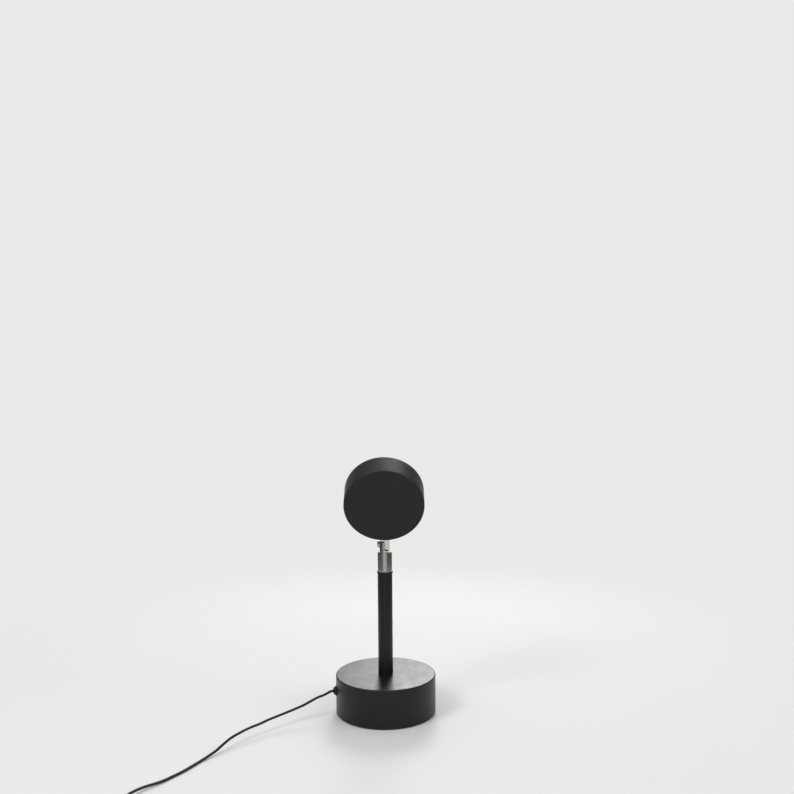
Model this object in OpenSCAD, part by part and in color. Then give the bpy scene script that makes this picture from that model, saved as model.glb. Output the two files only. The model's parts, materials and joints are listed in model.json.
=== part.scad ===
// Sunset projection lamp: a weighted round base, a slim pole, a knuckle that swivels and
// tilts, and a drum-shaped head with a convex lens, fed by a cord with an in-line switch
// and a USB plug.
// Millimetres. +Z is up and +Y is the way the lamp shines. The origin is the centre of the
// base, where it stands on the table.

/* [Base] */
// Diameter of the round base
base_dia = 102; // [90:1:130]
// Height of the base's top above the table
base_h = 40; // [36:1:60]
// Thickness of the base shell's side
base_wall = 2.5; // [2:0.5:4]
// Thickness of the base shell's top
base_top_t = 3; // [2:0.5:5]
// Radius of the rounded edge round the base's top
base_edge_r = 1; // [0.5:0.25:1.75]
// Height of the base shell's rim above the table
rim_lift = 1; // [0.5:0.25:1.5]
// Thickness of the soft pad under the base
pad_t = 2; // [2:0.5:4]
// Thickness of the plate that closes the base
plate_t = 1.5; // [1:0.5:2.5]
// Thickness of the ballast weight
ballast_t = 10; // [6:1:12]
// Gap between the ballast weight and the base shell's side
ballast_gap = 2; // [1:0.5:4]
// Diameter of the three posts that hang from the base's top
post_dia = 9; // [8:0.5:12]
// Distance of each post's centre from the base's side
post_inset = 15; // [11:1:20]
// Diameter of the screws that hold the plate and the ballast to the posts
base_screw_dia = 4; // [3:0.5:5]
// Diameter of those screws' heads
base_screw_head_dia = 8; // [7:0.5:10]
// Thickness of those screws' heads
base_screw_head_h = 1.5; // [1:0.25:1.75]
// Depth that those screws reach into the posts
base_screw_grip = 8; // [5:1:12]

/* [Cable gland] */
// Height of the cable gland above the table
gland_z = 25; // [22:1:28]
// Direction of the cable gland round the base, in degrees from +X
gland_turn = 190; // [180:1:200]
// Diameter of the gland's flanges
gland_flange_dia = 11; // [10:0.5:12]
// Diameter of the gland's neck, which fills the hole in the base's side
gland_neck_dia = 8; // [6:0.5:9]
// Diameter of the gland's outer tip
gland_tip_dia = 6; // [4:0.5:8]
// Distance that the gland stands out from the base
gland_reach = 3; // [3:0.5:8]
// Thickness of the gland's inner flange
gland_flange_t = 2; // [1:0.5:3]
// Length of the sleeve that is crimped on the lead inside the gland
stop_len = 4; // [3:0.5:6]
// Outer diameter of that sleeve
stop_dia = 6; // [5:0.5:7]

/* [Pole] */
// Outer diameter of the pole
pole_dia = 15; // [13:0.5:20]
// Length of the pole
pole_len = 104; // [60:1:300]
// Diameter of the hollow threaded rods in the pole's ends
nipple_dia = 10; // [9:0.5:10.5]
// Bore of those rods, which the lead runs through
nipple_bore = 6; // [4:0.5:6.5]
// Length of the lower rod inside the pole
nipple_reach = 12; // [8:1:20]
// Diameter of the washer under the base's top
pole_washer_dia = 20; // [18:1:26]
// Thickness of that washer
pole_washer_t = 1; // [0.5:0.25:2]
// Width of the lower rod's nut across its flats
pole_nut_width = 14; // [13:0.5:17]
// Thickness of that nut
pole_nut_h = 4; // [3:0.5:5]
// Diameter of the collar on the pole's top
collar_dia = 16; // [14:0.5:20]
// Height of that collar
collar_h = 2.4; // [1.5:0.1:5]

/* [Knuckle] */
// Diameter of the knuckle's two halves
knuckle_dia = 14.6; // [13:0.1:15]
// Height of the hinge screw above the knuckle's lower end
knuckle_len = 27; // [25:1:40]
// Thickness of the washer that the knuckle turns on
swivel_washer_t = 0.5; // [0.3:0.1:1]
// Diameter of the stud's upper end, which the knuckle turns on
journal_dia = 9; // [8:0.5:9.5]
// Length of the stud's upper end
journal_len = 11.5; // [10:0.5:12]
// Depth that the stud is screwed into the pole
stud_reach = 14; // [8:1:20]
// Height of the set screw above the knuckle's lower end
set_screw_z = 5; // [4:0.5:6]
// Diameter of the set screw
set_screw_dia = 3; // [2.5:0.5:4]
// Diameter of the hinge screw
hinge_dia = 4; // [3:0.5:4.5]
// Diameter of the hinge screw's head
hinge_head_dia = 7; // [6:0.5:8]
// Thickness of the hinge screw's head
hinge_head_h = 2.1; // [1.5:0.1:3]
// Thickness of the spring washer under the hinge screw's head
hinge_washer_t = 0.5; // [0.3:0.1:1]
// Distance from the middle to each ear's outer face
ear_reach = 5; // [4.5:0.25:6]
// Gap between the two ears
ear_gap = 0.3; // [0.2:0.1:0.6]
// Width of the channel that the wires take round the hinge screw
channel_width = 2.8; // [2:0.2:2.8]
// Depth of that channel in each ear
channel_depth = 2.8; // [2:0.1:3]
// Upward tilt of the head as it stands, in degrees
head_tilt = 22; // [0:1:60]
// Distance from the hinge screw to the head's side
neck_len = 13.5; // [12:0.5:30]
// Diameter of the hollow stud between the knuckle and the head
neck_stud_dia = 8; // [7:0.5:9]
// Bore of that stud
neck_stud_bore = 5; // [3:0.5:5]
// Width of that stud's nut across its flats
neck_nut_width = 12; // [11:0.5:12]
// Thickness of that nut
neck_nut_h = 3; // [2:0.5:3.5]
// Diameter of the curved washer under that nut
neck_washer_dia = 14; // [13:0.5:14.5]

/* [Head] */
// Diameter of the head's drum
head_dia = 80; // [76:1:110]
// Length of the head's drum
head_len = 28; // [24:1:40]
// Thickness of the drum's side
head_wall = 2; // [1.5:0.25:3]
// Thickness of the drum's back
head_back_t = 2; // [1.5:0.25:3]
// Radius of the rounded edge round the drum's back
head_edge_r = 0.8; // [0.4:0.1:1.2]
// Diameter of the lens
lens_dia = 64; // [50:1:65]
// Thickness of the lens at its edge
lens_edge_t = 2.5; // [1.5:0.25:4]
// Height of the lens's dome over its edge
lens_rise = 5.7; // [3:0.1:6.5]
// Thickness of the seal behind the lens
gasket_t = 0.8; // [0.5:0.1:1.5]
// Distance that the lens's edge is covered, in front and behind
lens_lip = 2.5; // [1.5:0.25:4]
// Distance from the drum's front edge back to the front ring
bezel_set = 0.6; // [0:0.1:1.5]
// Thickness of the reflector's wall
reflector_t = 1.2; // [0.8:0.1:1.6]
// Diameter of the reflector's inner opening
reflector_eye = 13; // [11:0.5:15]

/* [Light source] */
// Diameter of the heat sink
sink_dia = 60; // [58:1:64]
// Thickness of the heat sink's plate
sink_plate_t = 2; // [1.5:0.25:3]
// Height of the heat sink's fins
fin_h = 2.5; // [1.5:0.25:3]
// Thickness of each fin
fin_t = 1.2; // [0.8:0.1:2]
// Distance from fin to fin
fin_pitch = 5; // [3:0.5:8]
// Distance of the heat sink's screws from the drum's axis
sink_screw_r = 25; // [23:0.5:26]
// Diameter of the heat sink's screws
sink_screw_dia = 3; // [2.5:0.5:3.5]
// Diameter of the round circuit board
board_dia = 40; // [39:0.5:42]
// Thickness of the circuit board
board_t = 1.6; // [1:0.2:2]
// Distance of the board's screws from the drum's axis
board_screw_r = 17; // [16.5:0.25:17.5]
// Diameter of the board's screws
board_screw_dia = 2.5; // [2:0.5:2.5]
// Width of the square light-emitting chip
chip_width = 7; // [4:0.5:7.5]
// Thickness of the chip
chip_t = 0.8; // [0.6:0.1:1]

/* [Cord] */
// Diameter of the cord
cord_dia = 2.5; // [2.2:0.1:2.8]
// Diameter of the pair of wires inside the knuckle and the head
wire_dia = 1.6; // [1:0.1:1.8]
// Radius of the stowed coil's outer turn
coil_r = 19; // [18:0.5:22]
// Gap between the coil's turns
turn_gap = 0.5; // [0.45:0.05:0.8]

/* [Switch] */
// Length of the in-line switch
switch_len = 46; // [42:1:60]
// Width of the switch
switch_width = 14; // [13:0.5:20]
// Height of the switch
switch_h = 9.6; // [9.4:0.2:11]
// Wall of the switch's casing
switch_wall = 1.2; // [1:0.1:1.4]
// Diameter of the switch's button
button_dia = 8.8; // [7:0.2:9]
// Height of the button's top over the casing
button_rise = 1.5; // [1.3:0.1:2.5]
// Travel of the button
button_travel = 1.2; // [0.8:0.1:1.2]

/* [Plug] */
// Length of the plug's grip
grip_len = 34; // [25:1:45]
// Width of the plug's grip
grip_width = 15.6; // [14:0.2:18]
// Height of the plug's grip
grip_h = 8; // [7:0.2:10]
// Length of the tapered relief between the cord and the grip
relief_len = 10; // [6:1:20]
// Length of the metal shell that stands out of the grip
shell_len = 12; // [11:0.5:14]

/* [Hidden] */
$fn = 96;

// Fits
thread_fit = 0.05;      // radial play of a thread, or of a shaft in its bore
face_gap = 0.05;        // play between faces that turn on each other
seat_gap = 0.3;         // play of a plate or a ring in its recess
cut = 1;                // how far a cutting shape runs past what it cuts

// Heights in the base
plate_z = pad_t;
ballast_z = plate_z + plate_t;
ballast_top = ballast_z + ballast_t;
base_ceiling = base_h - base_top_t;
base_r = base_dia / 2;
base_inner_r = base_r - base_wall;
post_r = base_r - post_inset;
post_turns = [10, 130, 250];
nipple_end_play = 1.5;
nipple_z = base_ceiling - pole_washer_t - pole_nut_h - nipple_end_play;

// The cable gland
gland_dir = [cos(gland_turn), sin(gland_turn), 0];
gland_tip = (base_r + gland_reach) * gland_dir + [0, 0, gland_z];
gland_inside = base_inner_r - gland_flange_t;
gland_bore = cord_dia + 0.2;

// Heights on the pole and the knuckle
pole_top = base_h + pole_len;
collar_top = pole_top + collar_h;
stud_top = collar_top + swivel_washer_t + journal_len;
knuckle_z = collar_top + swivel_washer_t + face_gap;
hinge_z = knuckle_z + knuckle_len;
knuckle_r = knuckle_dia / 2;
shoulder = knuckle_r + 0.4;         // from the hinge screw to each half's shoulder
channel_in_r = hinge_dia / 2 + 0.8;
channel_out_r = channel_in_r + channel_width;
wire_slot = 3.2;                    // width of the wires' way into the channel
groove_h = 3;                       // of the groove that the set screw runs in
groove_depth = 0.9;
set_screw_tip_dia = 1.2;
stop_width = 0.6;                   // of the rib that ends the groove
edge_cut = 0.4;                     // small bevel on turned edges

// The head, measured from the hinge screw: Z to the drum, Y to the front
head_r = head_dia / 2;
head_arm = neck_len + head_r;
head_inner_r = head_r - head_wall;
neck_stud_z = shoulder + 1.4;
neck_washer_rise = 1.6;
neck_nut_z = neck_len + head_wall + neck_washer_rise;
neck_stud_top = neck_nut_z + neck_nut_h + 0.5;

// Depths in the drum, along its axis from its middle
drum_front = head_len / 2;
drum_floor = -head_len / 2 + head_back_t;
sink_back = drum_floor + fin_h;
sink_front = sink_back + sink_plate_t;
board_front = sink_front + board_t;
lens_seat = drum_front - lens_rise - lens_edge_t - gasket_t;
lens_back = lens_seat + gasket_t;
lens_step = lens_back + lens_edge_t;
bezel_front = drum_front - bezel_set;
lens_r = lens_dia / 2;
lens_ball_r = (lens_r * lens_r + lens_rise * lens_rise) / (2 * lens_rise);
// Height of the lens's dome over its edge, at a distance r from the axis
function dome(r) = sqrt(lens_ball_r * lens_ball_r - r * r) - lens_ball_r + lens_rise;
eye_r = reflector_eye / 2;
mouth_r = lens_r - lens_lip;
cone_slope = (lens_seat - board_front) / (mouth_r - eye_r);
cone_drop = reflector_t * sqrt(1 + cone_slope * cone_slope);
rim_gap = 0.2;
rim_t = 1.8;
ring_bite = 0.5;        // how much less than the seal the front ring covers of the lens
sink_screw_turns = [90, 210, 330];
sink_post_dia = 7;
sink_screw_head = [2.4, 1.6];       // how much wider than the screw, and how thick
board_screw_head = [1.7, 1];
fins_aside = 5;         // fins on each side of the middle one
screw_head_play = 0.4;  // of a screw in a plain hole

// The cord. Places on the table are measured from the gland's tip, and heights from the
// table. The route was laid by eye, so its points are whole and half millimetres.
cord_r = cord_dia / 2;
table_play = 0.05;
lie = cord_r + table_play;
layers = 4;
coil_at = [-154, -227.5];
coil_turn_in = 160;
coil_turns = 11 + 110 / 360;
coil_pitch = cord_dia + turn_gap;
rings_per_turn = 24;
run_route = [
    [-9, -4, 22.5], [-17, -6.5, 20], [-30, -14.5, 15.5], [-44, -23.5, 12.5],
    [-60, -38, 11], [-69, -47.5, 10], [-77.5, -56, 9.5], [-85, -66, 9],
    [-92, -76, 8], [-98, -86.5, 6], [-103, -94.5, 3.5], [-109.5, -104.5, 2],
    [-115, -113.5, lie], [-121, -125, lie], [-127, -135.5, lie], [-133, -144, lie],
    [-138.5, -152, 1.5], [-144, -158.5, 2], [-150, -164.5, 2.5], [-155.5, -171.5, 3],
    [-160, -180, 3.5], [-164, -189.5, 3], [-167.5, -199.5, 2], [-170, -209.5, 1.5]
];
tail_route = [
    [-143, -247, 9.5], [-133, -246.5, 7], [-123, -245.5, 4.5], [-113, -244.5, 3.5]
];
lead_route = [
    [-35, -245, 3.5], [-28.5, -251, 2], [-27, -258, 1.5], [-30.5, -265, 2], [-37, -269, 3]
];
switch_at = [-73, -243.5];
plug_at = [-46, -269.5];
run_steps = 2;          // rings to each stretch between two points of a route
loose_sides = 8;
coil_sides = 6;

// The switch, measured from its middle on the table
switch_split = switch_h / 2;
switch_plan_r = 5;      // of the casing's corners, seen from above
switch_edge_r = 2;      // of the casing's other edges
cord_hold = 5;          // how far the cord reaches into the casing
switch_post_x = 9;      // of the two ribs that carry the board
switch_post_t = 1.5;
switch_board_len = 24;
switch_board_side = 1.6;    // from the board's edge to the casing's outside
switch_board_t = 1.2;
switch_wire_dia = 1;
switch_wire_y = 0.62;
board_top = switch_split - cord_r + 0.25;
button_flange_t = 0.8;
button_flange_over = 0.7;
button_edge_r = 0.5;
button_play = 0.3;      // of the button in the casing's hole
button_flange_z = switch_h - switch_wall - seat_gap - button_flange_t;
button_spare = 0.2;     // what is left under the button's flange when it is pressed
module_width = 7;
module_h = button_flange_z - button_travel - button_spare - board_top;
module_floor = 0.2;
stem_dia = 2.4;
stem_bite = 0.6;        // how far the button's stem reaches into the switch's module

// The plug, measured from the middle of its relief's tip, along -X
plug_z = grip_h / 2;
shell_w = 12;
shell_h = 4.5;
shell_skin = 0.3;
shell_seat = 2;         // how far the shell reaches into the grip
tongue_h = 1.8;
tongue_play = 0.1;
contact_len = 7;
contact_t = 0.2;
contact_width = 1;
contact_places = [-3.5, -1, 1, 3.5];

// Vectors and paths
function unit(v) = v / norm(v);
function tangent(path, i) =
    unit(path[min(i + 1, len(path) - 1)] - path[max(i - 1, 0)]);
function path_len(path) =
    len(path) < 2 ? 0 : [for (i = 1, s = 0; i <= len(path);
        s = s + (i < len(path) ? norm(path[i] - path[i - 1]) : 0), i = i + 1) s][len(path) - 1];
// A point of the smooth curve through b and c, a share s of the way from b to c
function curve(a, b, c, d, s) =
    (2 * b + (c - a) * s + (2 * a - 5 * b + 4 * c - d) * s * s
        + (3 * b - a - 3 * c + d) * s * s * s) / 2;
function smooth(p, steps) = concat(
    [for (i = [0:len(p) - 2], k = [0:steps - 1])
        curve(p[max(i - 1, 0)], p[i], p[i + 1], p[min(i + 2, len(p) - 1)], k / steps)],
    [p[len(p) - 1]]);
// A ring of points round p, square to t
function ring(p, t, side, r, sides) =
    let (u = unit(cross(side, t)), w = cross(t, u))
    [for (k = [0:sides - 1]) p + r * (cos(360 * k / sides) * u + sin(360 * k / sides) * w)];

// A solid tube along a path. side is a direction that the path never takes.
module tube(path, r, sides, side = [0, 0, 1]) {
    rings = len(path);
    last = (rings - 1) * sides;
    polyhedron(
        points = [for (i = [0:rings - 1]) each ring(path[i], tangent(path, i), side, r, sides)],
        faces = concat(
            [for (i = [0:rings - 2], k = [0:sides - 1])
                let (a = i * sides + k, b = i * sides + (k + 1) % sides)
                each [[a, a + sides, b + sides], [a, b + sides, b]]],
            [for (k = [1:sides - 2]) [0, k, k + 1]],
            [for (k = [1:sides - 2]) [last, last + k + 1, last + k]]),
        convexity = 8);
}

// The stowed coil: it spirals in and out again at a steady rate, four layers deep, and
// climbs to the next layer in the half turn where the spiral reverses
layer_turns = coil_turns / layers;
function climb(x) = x <= 0 ? 0 : x >= 1 ? 1 : (1 - cos(180 * x)) / 2;
function coil_point(u) =
    let (layer = min(floor(u / layer_turns), layers - 1),
        along = u - layer * layer_turns,
        inward = layer % 2 == 0 ? along : layer_turns - along,
        r = coil_r - coil_pitch * inward,
        turn = coil_turn_in + 360 * u,
        rise = [for (j = [1:layers - 1]) climb((u - j * layer_turns) * 2 + 0.5)] * [1, 1, 1])
    [coil_at.x + r * cos(turn), coil_at.y + r * sin(turn), lie + coil_pitch * rise];
coil_rings = ceil(rings_per_turn * coil_turns);
coil_wound = [for (i = [0:coil_rings]) coil_point(coil_turns * i / coil_rings)];
function flat(v) = [v.x, v.y, 0];
coil_in_dir = unit(flat(coil_wound[1] - coil_wound[0]));
coil_out_dir = unit(flat(coil_wound[coil_rings] - coil_wound[coil_rings - 1]));
coil_in = coil_wound[0] - cord_dia * coil_in_dir;
coil_out = coil_wound[coil_rings] + cord_dia * coil_out_dir;
coil_path = concat([coil_in], coil_wound, [coil_out]);
coil_gap = min([for (i = [0:coil_rings], j = [i + 12:coil_rings])
    norm(coil_wound[i] - coil_wound[j])]) - cord_dia;

// The loose stretches, from the gland to the coil, to the switch and to the plug
tip_flat = flat(gland_tip);
run_in = flat(gland_dir) * cord_dia + [0, 0, gland_z];
run_path = concat(
    [[0, 0, gland_z]],
    smooth(concat([run_in], run_route, [coil_in - cord_dia * coil_in_dir]), run_steps),
    [coil_in]);
switch_in = [switch_at.x - switch_len / 2, switch_at.y, switch_split];
switch_out = [switch_at.x + switch_len / 2, switch_at.y, switch_split];
tail_path = concat(
    [coil_out],
    smooth(concat([coil_out + cord_dia * coil_out_dir], tail_route,
        [switch_in - [3 * cord_dia, 0, 0], switch_in - [cord_dia, 0, 0]]), run_steps),
    [switch_in + [cord_hold, 0, 0]]);
lead_path = concat(
    [switch_out - [cord_hold, 0, 0]],
    smooth(concat([switch_out + [cord_dia, 0, 0], switch_out + [3 * cord_dia, 0, 0]],
        lead_route, [[plug_at.x + cord_dia, plug_at.y, plug_z]]), run_steps),
    [[plug_at.x, plug_at.y, plug_z]]);
echo(least_gap_between_the_coils_turns = coil_gap);
echo(cord_lengths = [path_len(run_path), path_len(coil_path), path_len(tail_path),
    path_len(lead_path)]);
echo(cord_total = path_len(run_path) + path_len(coil_path) + path_len(tail_path)
    + path_len(lead_path) + switch_len - 2 * cord_hold);

// The lead inside the stand, from the gland's tip to the swivel stud
lead_end_z = stud_top - 8;
function in_base(s, z) = s * gland_dir + [0, 0, z];
stand_lead_path = concat(
    [gland_tip],
    smooth([
        in_base(base_r + gland_reach - cord_dia, gland_z),
        in_base(gland_inside, gland_z), in_base(gland_inside - stop_len, gland_z),
        in_base(32, gland_z - 1), in_base(22, gland_z - 4), in_base(12, gland_z - 6),
        in_base(5, gland_z - 5.5), in_base(1, gland_z - 2.5), [0, 0, nipple_z + 1],
        [0, 0, nipple_z + 6], [0, 0, base_h + nipple_reach], [0, 0, collar_top - stud_reach],
        [0, 0, lead_end_z - cord_dia]
    ], 3),
    [[0, 0, lead_end_z]]);

// The wires in the knuckle: up beside the screw's left, round behind it in the channel, and
// up on its right. side_x is their distance from the middle in each ear.
side_x = ear_gap / 2 + channel_depth / 2;
channel_mid_r = (channel_in_r + channel_out_r) / 2;
function round_hinge(turn, x) =
    [x, -channel_mid_r * sin(turn), hinge_z - channel_mid_r * cos(turn)];
function from_neck(x, z) =
    [x, -z * sin(head_tilt), hinge_z + z * cos(head_tilt)];
arc_end = 180 - head_tilt;
arc_turns = [for (k = [0:5]) 35 + (arc_end - 60) * k / 5];
wires_join = neck_len - 0.5;
knuckle_wires_path = concat(
    [[0, 0, lead_end_z]],
    smooth(concat(
        [[0, 0, lead_end_z + wire_dia], [-side_x / 2, 0, stud_top - 2.5],
            [-side_x, 0.5, stud_top + 1.5], [-side_x, 0.6, hinge_z - shoulder],
            [-side_x, 0.2, hinge_z - channel_out_r + 0.4]],
        [for (k = [0:5]) round_hinge(arc_turns[k], side_x * (0.4 * k - 1))],
        [from_neck(side_x, channel_out_r - 0.2), from_neck(side_x, shoulder),
            from_neck(side_x / 2, neck_stud_z + 1),
            from_neck(0, wires_join - wire_dia)]), 3),
    [from_neck(0, wires_join)]);

// The wires in the head, in the head's own measures: out of the neck stud and down the
// back of the reflector to the board
wire_lie = board_front + wire_dia / 2 + 0.03;
head_wires_path = concat(
    [[0, 0, wires_join]],
    smooth([
        [0, 0, wires_join + wire_dia], [0, 0, neck_stud_top], [0, wire_lie * 0.15, neck_stud_top + 3],
        [0, wire_lie * 0.65, neck_stud_top + 6.5], [0, wire_lie, neck_stud_top + 10.5],
        [0, wire_lie, head_arm - board_dia / 2 + 2]
    ], 3),
    [[0, wire_lie, head_arm - board_dia / 2 + 3.2]]);

// Frames: where the head's, the drum's, the gland's and the cord's shapes are drawn
module at_head() {
    translate([0, 0, hinge_z]) rotate([head_tilt, 0, 0]) children();
}
module in_drum() {
    at_head() translate([0, 0, head_arm]) rotate([-90, 0, 0]) children();
}
module along_gland() {
    translate([0, 0, gland_z]) rotate([0, 0, gland_turn]) rotate([0, 90, 0]) children();
}
module along_x(x) {
    translate([x, 0, 0]) rotate([0, 90, 0]) children();
}
module from_tip() {
    translate(tip_flat) children();
}
module at_switch() {
    from_tip() translate([switch_at.x, switch_at.y, 0]) children();
}
module at_plug() {
    from_tip() translate([plug_at.x, plug_at.y, plug_z]) mirror([1, 0, 0]) children();
}
module round_post(turns, r) {
    for (turn = turns) rotate([0, 0, turn]) translate([r, 0, 0]) children();
}

// Repeated shapes
module pipe(outer, bore, h) {
    difference() {
        cylinder(d = outer, h = h);
        translate([0, 0, -cut]) cylinder(d = bore, h = h + 2 * cut);
    }
}
module hexagon(width) {
    intersection_for(turn = [0, 60, 120]) {
        rotate([0, 0, turn]) square([2 * width, width], center = true);
    }
}
module hex_nut(width, bore, h) {
    difference() {
        linear_extrude(h) hexagon(width);
        translate([0, 0, -cut]) cylinder(d = bore, h = h + 2 * cut);
    }
}
// A bar of round stock with a bevel at its lower end
module bevelled_rod(r, h, bevel) {
    translate([0, 0, bevel]) cylinder(r = r, h = h - bevel);
    cylinder(r1 = r - bevel, r2 = r, h = bevel);
}
module round_rect(l, w, r) {
    square([l - 2 * r, w], center = true);
    square([l, w - 2 * r], center = true);
    for (x = [-1, 1], y = [-1, 1]) {
        translate([x * (l / 2 - r), y * (w / 2 - r)]) circle(r);
    }
}
// A block that is rounded on all its edges, centred on X and Y
module soft_block(l, w, h, plan_r, edge_r) {
    intersection() {
        linear_extrude(h) round_rect(l, w, plan_r);
        translate([0, 0, h / 2]) rotate([90, 0, 0]) translate([0, 0, -w / 2])
            linear_extrude(w) round_rect(l, h, edge_r);
        translate([0, 0, h / 2]) rotate([90, 0, 90]) translate([0, 0, -l / 2])
            linear_extrude(l) round_rect(w, h, edge_r);
    }
}
// A screw that points up from its head's upper face, which is at z = 0
module pan_screw(shank, len, head, head_t) {
    translate([0, 0, -head_t]) difference() {
        union() {
            bevelled_rod(head / 2, head_t, min(0.4, head_t / 2));
            cylinder(d = shank, h = head_t + len);
        }
        for (turn = [0, 90]) {
            rotate([0, 0, turn]) translate([-head / 2 + 1.2, -0.4, -cut])
                cube([head - 2.4, 0.8, cut + head_t / 2]);
        }
    }
}

// The base
module base_shell() {
    color([0.06, 0.06, 0.065]) difference() {
        union() {
            rotate_extrude() difference() {
                union() {
                    translate([0, rim_lift])
                        square([base_r, base_h - rim_lift - base_edge_r]);
                    translate([0, rim_lift]) square([base_r - base_edge_r, base_h - rim_lift]);
                    translate([base_r - base_edge_r, base_h - base_edge_r])
                        circle(base_edge_r);
                }
                translate([-cut, rim_lift - cut])
                    square([base_inner_r + cut, base_ceiling - rim_lift + cut]);
                translate([-2 * base_r, 0]) square([2 * base_r, base_h + cut]);
            }
            round_post(post_turns, post_r)
                translate([0, 0, ballast_top]) cylinder(d = post_dia, h = base_h
                    - base_top_t / 2 - ballast_top);
        }
        translate([0, 0, base_ceiling - cut])
            cylinder(d = nipple_dia + 2 * thread_fit, h = base_top_t + 2 * cut);
        round_post(post_turns, post_r) translate([0, 0, ballast_top - cut])
            cylinder(d = base_screw_dia + 2 * thread_fit, h = base_screw_grip + 2 * cut);
        along_gland() translate([0, 0, base_inner_r - cut])
            cylinder(d = gland_neck_dia + 2 * thread_fit, h = base_wall + 2 * cut);
    }
}
module base_disc(r, z, t, hole) {
    translate([0, 0, z]) difference() {
        cylinder(r = r, h = t);
        round_post(post_turns, post_r) translate([0, 0, -cut]) cylinder(d = hole, h = t + 2 * cut);
    }
}
module base_plate() {
    color([0.55, 0.55, 0.56])
        base_disc(base_inner_r - seat_gap, plate_z, plate_t, base_screw_dia + screw_head_play);
}
module base_pad() {
    color([0.09, 0.09, 0.09])
        base_disc(base_inner_r - seat_gap, 0, pad_t, base_screw_head_dia + 1);
}
module ballast_weight() {
    color([0.25, 0.25, 0.26]) base_disc(base_inner_r - ballast_gap, ballast_z, ballast_t,
        base_screw_dia + screw_head_play);
}
module plate_screws() {
    color([0.7, 0.7, 0.72]) round_post(post_turns, post_r) translate([0, 0, plate_z])
        pan_screw(base_screw_dia, plate_t + ballast_t + base_screw_grip,
            base_screw_head_dia, base_screw_head_h);
}

// The cable gland and the lead inside the stand
module cable_gland() {
    color([0.05, 0.05, 0.05]) difference() {
        union() {
            difference() {
                along_gland() translate([0, 0, base_r - 1])
                    cylinder(d1 = gland_flange_dia, d2 = gland_tip_dia, h = gland_reach + 1);
                cylinder(r = base_r + face_gap, h = base_h);
            }
            along_gland() translate([0, 0, gland_inside])
                cylinder(d = gland_neck_dia, h = base_r + gland_reach / 4 - gland_inside);
            intersection() {
                along_gland() translate([0, 0, gland_inside])
                    cylinder(d = gland_flange_dia, h = gland_flange_t + 1);
                cylinder(r = base_inner_r - face_gap, h = base_h);
            }
        }
        along_gland() translate([0, 0, gland_inside - cut])
            cylinder(d = gland_bore, h = base_r + gland_reach + 2 * cut - gland_inside);
    }
}
module cord_stop() {
    color([0.75, 0.75, 0.77]) along_gland()
        translate([0, 0, gland_inside - stop_len - face_gap])
        pipe(stop_dia, cord_dia + 0.3, stop_len);
}
module stand_lead() {
    color([0.08, 0.08, 0.08]) tube(stand_lead_path, cord_r, loose_sides, [0, 1, 0]);
}

// The pole
module pole_nipple() {
    color([0.8, 0.7, 0.4]) translate([0, 0, nipple_z])
        pipe(nipple_dia, nipple_bore, base_h + nipple_reach - nipple_z);
}
module pole_washer() {
    color([0.7, 0.7, 0.72]) translate([0, 0, base_ceiling - pole_washer_t])
        pipe(pole_washer_dia, nipple_dia + 2 * thread_fit, pole_washer_t);
}
module pole_nut() {
    color([0.75, 0.75, 0.77]) translate([0, 0, base_ceiling - pole_washer_t - pole_nut_h])
        hex_nut(pole_nut_width, nipple_dia + 2 * thread_fit, pole_nut_h);
}
module pole_tube() {
    color([0.05, 0.05, 0.055]) translate([0, 0, base_h])
        pipe(pole_dia, nipple_dia + 2 * thread_fit, pole_len);
}
module pole_collar() {
    color([0.05, 0.05, 0.055]) translate([0, 0, pole_top]) difference() {
        union() {
            bevelled_rod(collar_dia / 2, collar_h - edge_cut, edge_cut);
            translate([0, 0, collar_h - edge_cut])
                cylinder(r1 = collar_dia / 2, r2 = collar_dia / 2 - edge_cut, h = edge_cut);
        }
        translate([0, 0, -cut])
            cylinder(d = nipple_dia + 2 * thread_fit, h = collar_h + 2 * cut);
    }
}

// The knuckle
module swivel_stud() {
    groove_z = knuckle_z + set_screw_z - groove_h / 2;
    color([0.8, 0.7, 0.4]) difference() {
        union() {
            translate([0, 0, collar_top - stud_reach])
                cylinder(d = nipple_dia, h = stud_reach);
            translate([0, 0, collar_top]) cylinder(d = journal_dia, h = stud_top - collar_top);
        }
        translate([0, 0, collar_top - stud_reach - cut])
            cylinder(d = nipple_bore, h = stud_top - collar_top + stud_reach + 2 * cut);
        difference() {
            translate([0, 0, groove_z]) pipe(journal_dia + cut, journal_dia - 2 * groove_depth,
                groove_h);
            translate([-stop_width / 2, -journal_dia, groove_z - cut])
                cube([stop_width, journal_dia, groove_h + 2 * cut]);
        }
    }
}
module swivel_washer() {
    color([0.9, 0.9, 0.88]) translate([0, 0, collar_top])
        pipe(knuckle_dia - 1, journal_dia + 2 * thread_fit, swivel_washer_t);
}
// One ear, on the side of +X, with its hinge at the origin and its foot pointing down
module ear(foot) {
    inner = ear_gap / 2;
    intersection() {
        union() {
            along_x(inner) cylinder(r = knuckle_r, h = ear_reach - inner);
            translate([inner, -knuckle_r, -foot]) cube([ear_reach - inner, knuckle_dia, foot]);
        }
        translate([0, 0, -foot - cut])
            cylinder(r = knuckle_r, h = foot + knuckle_r + 2 * cut);
    }
}
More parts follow.
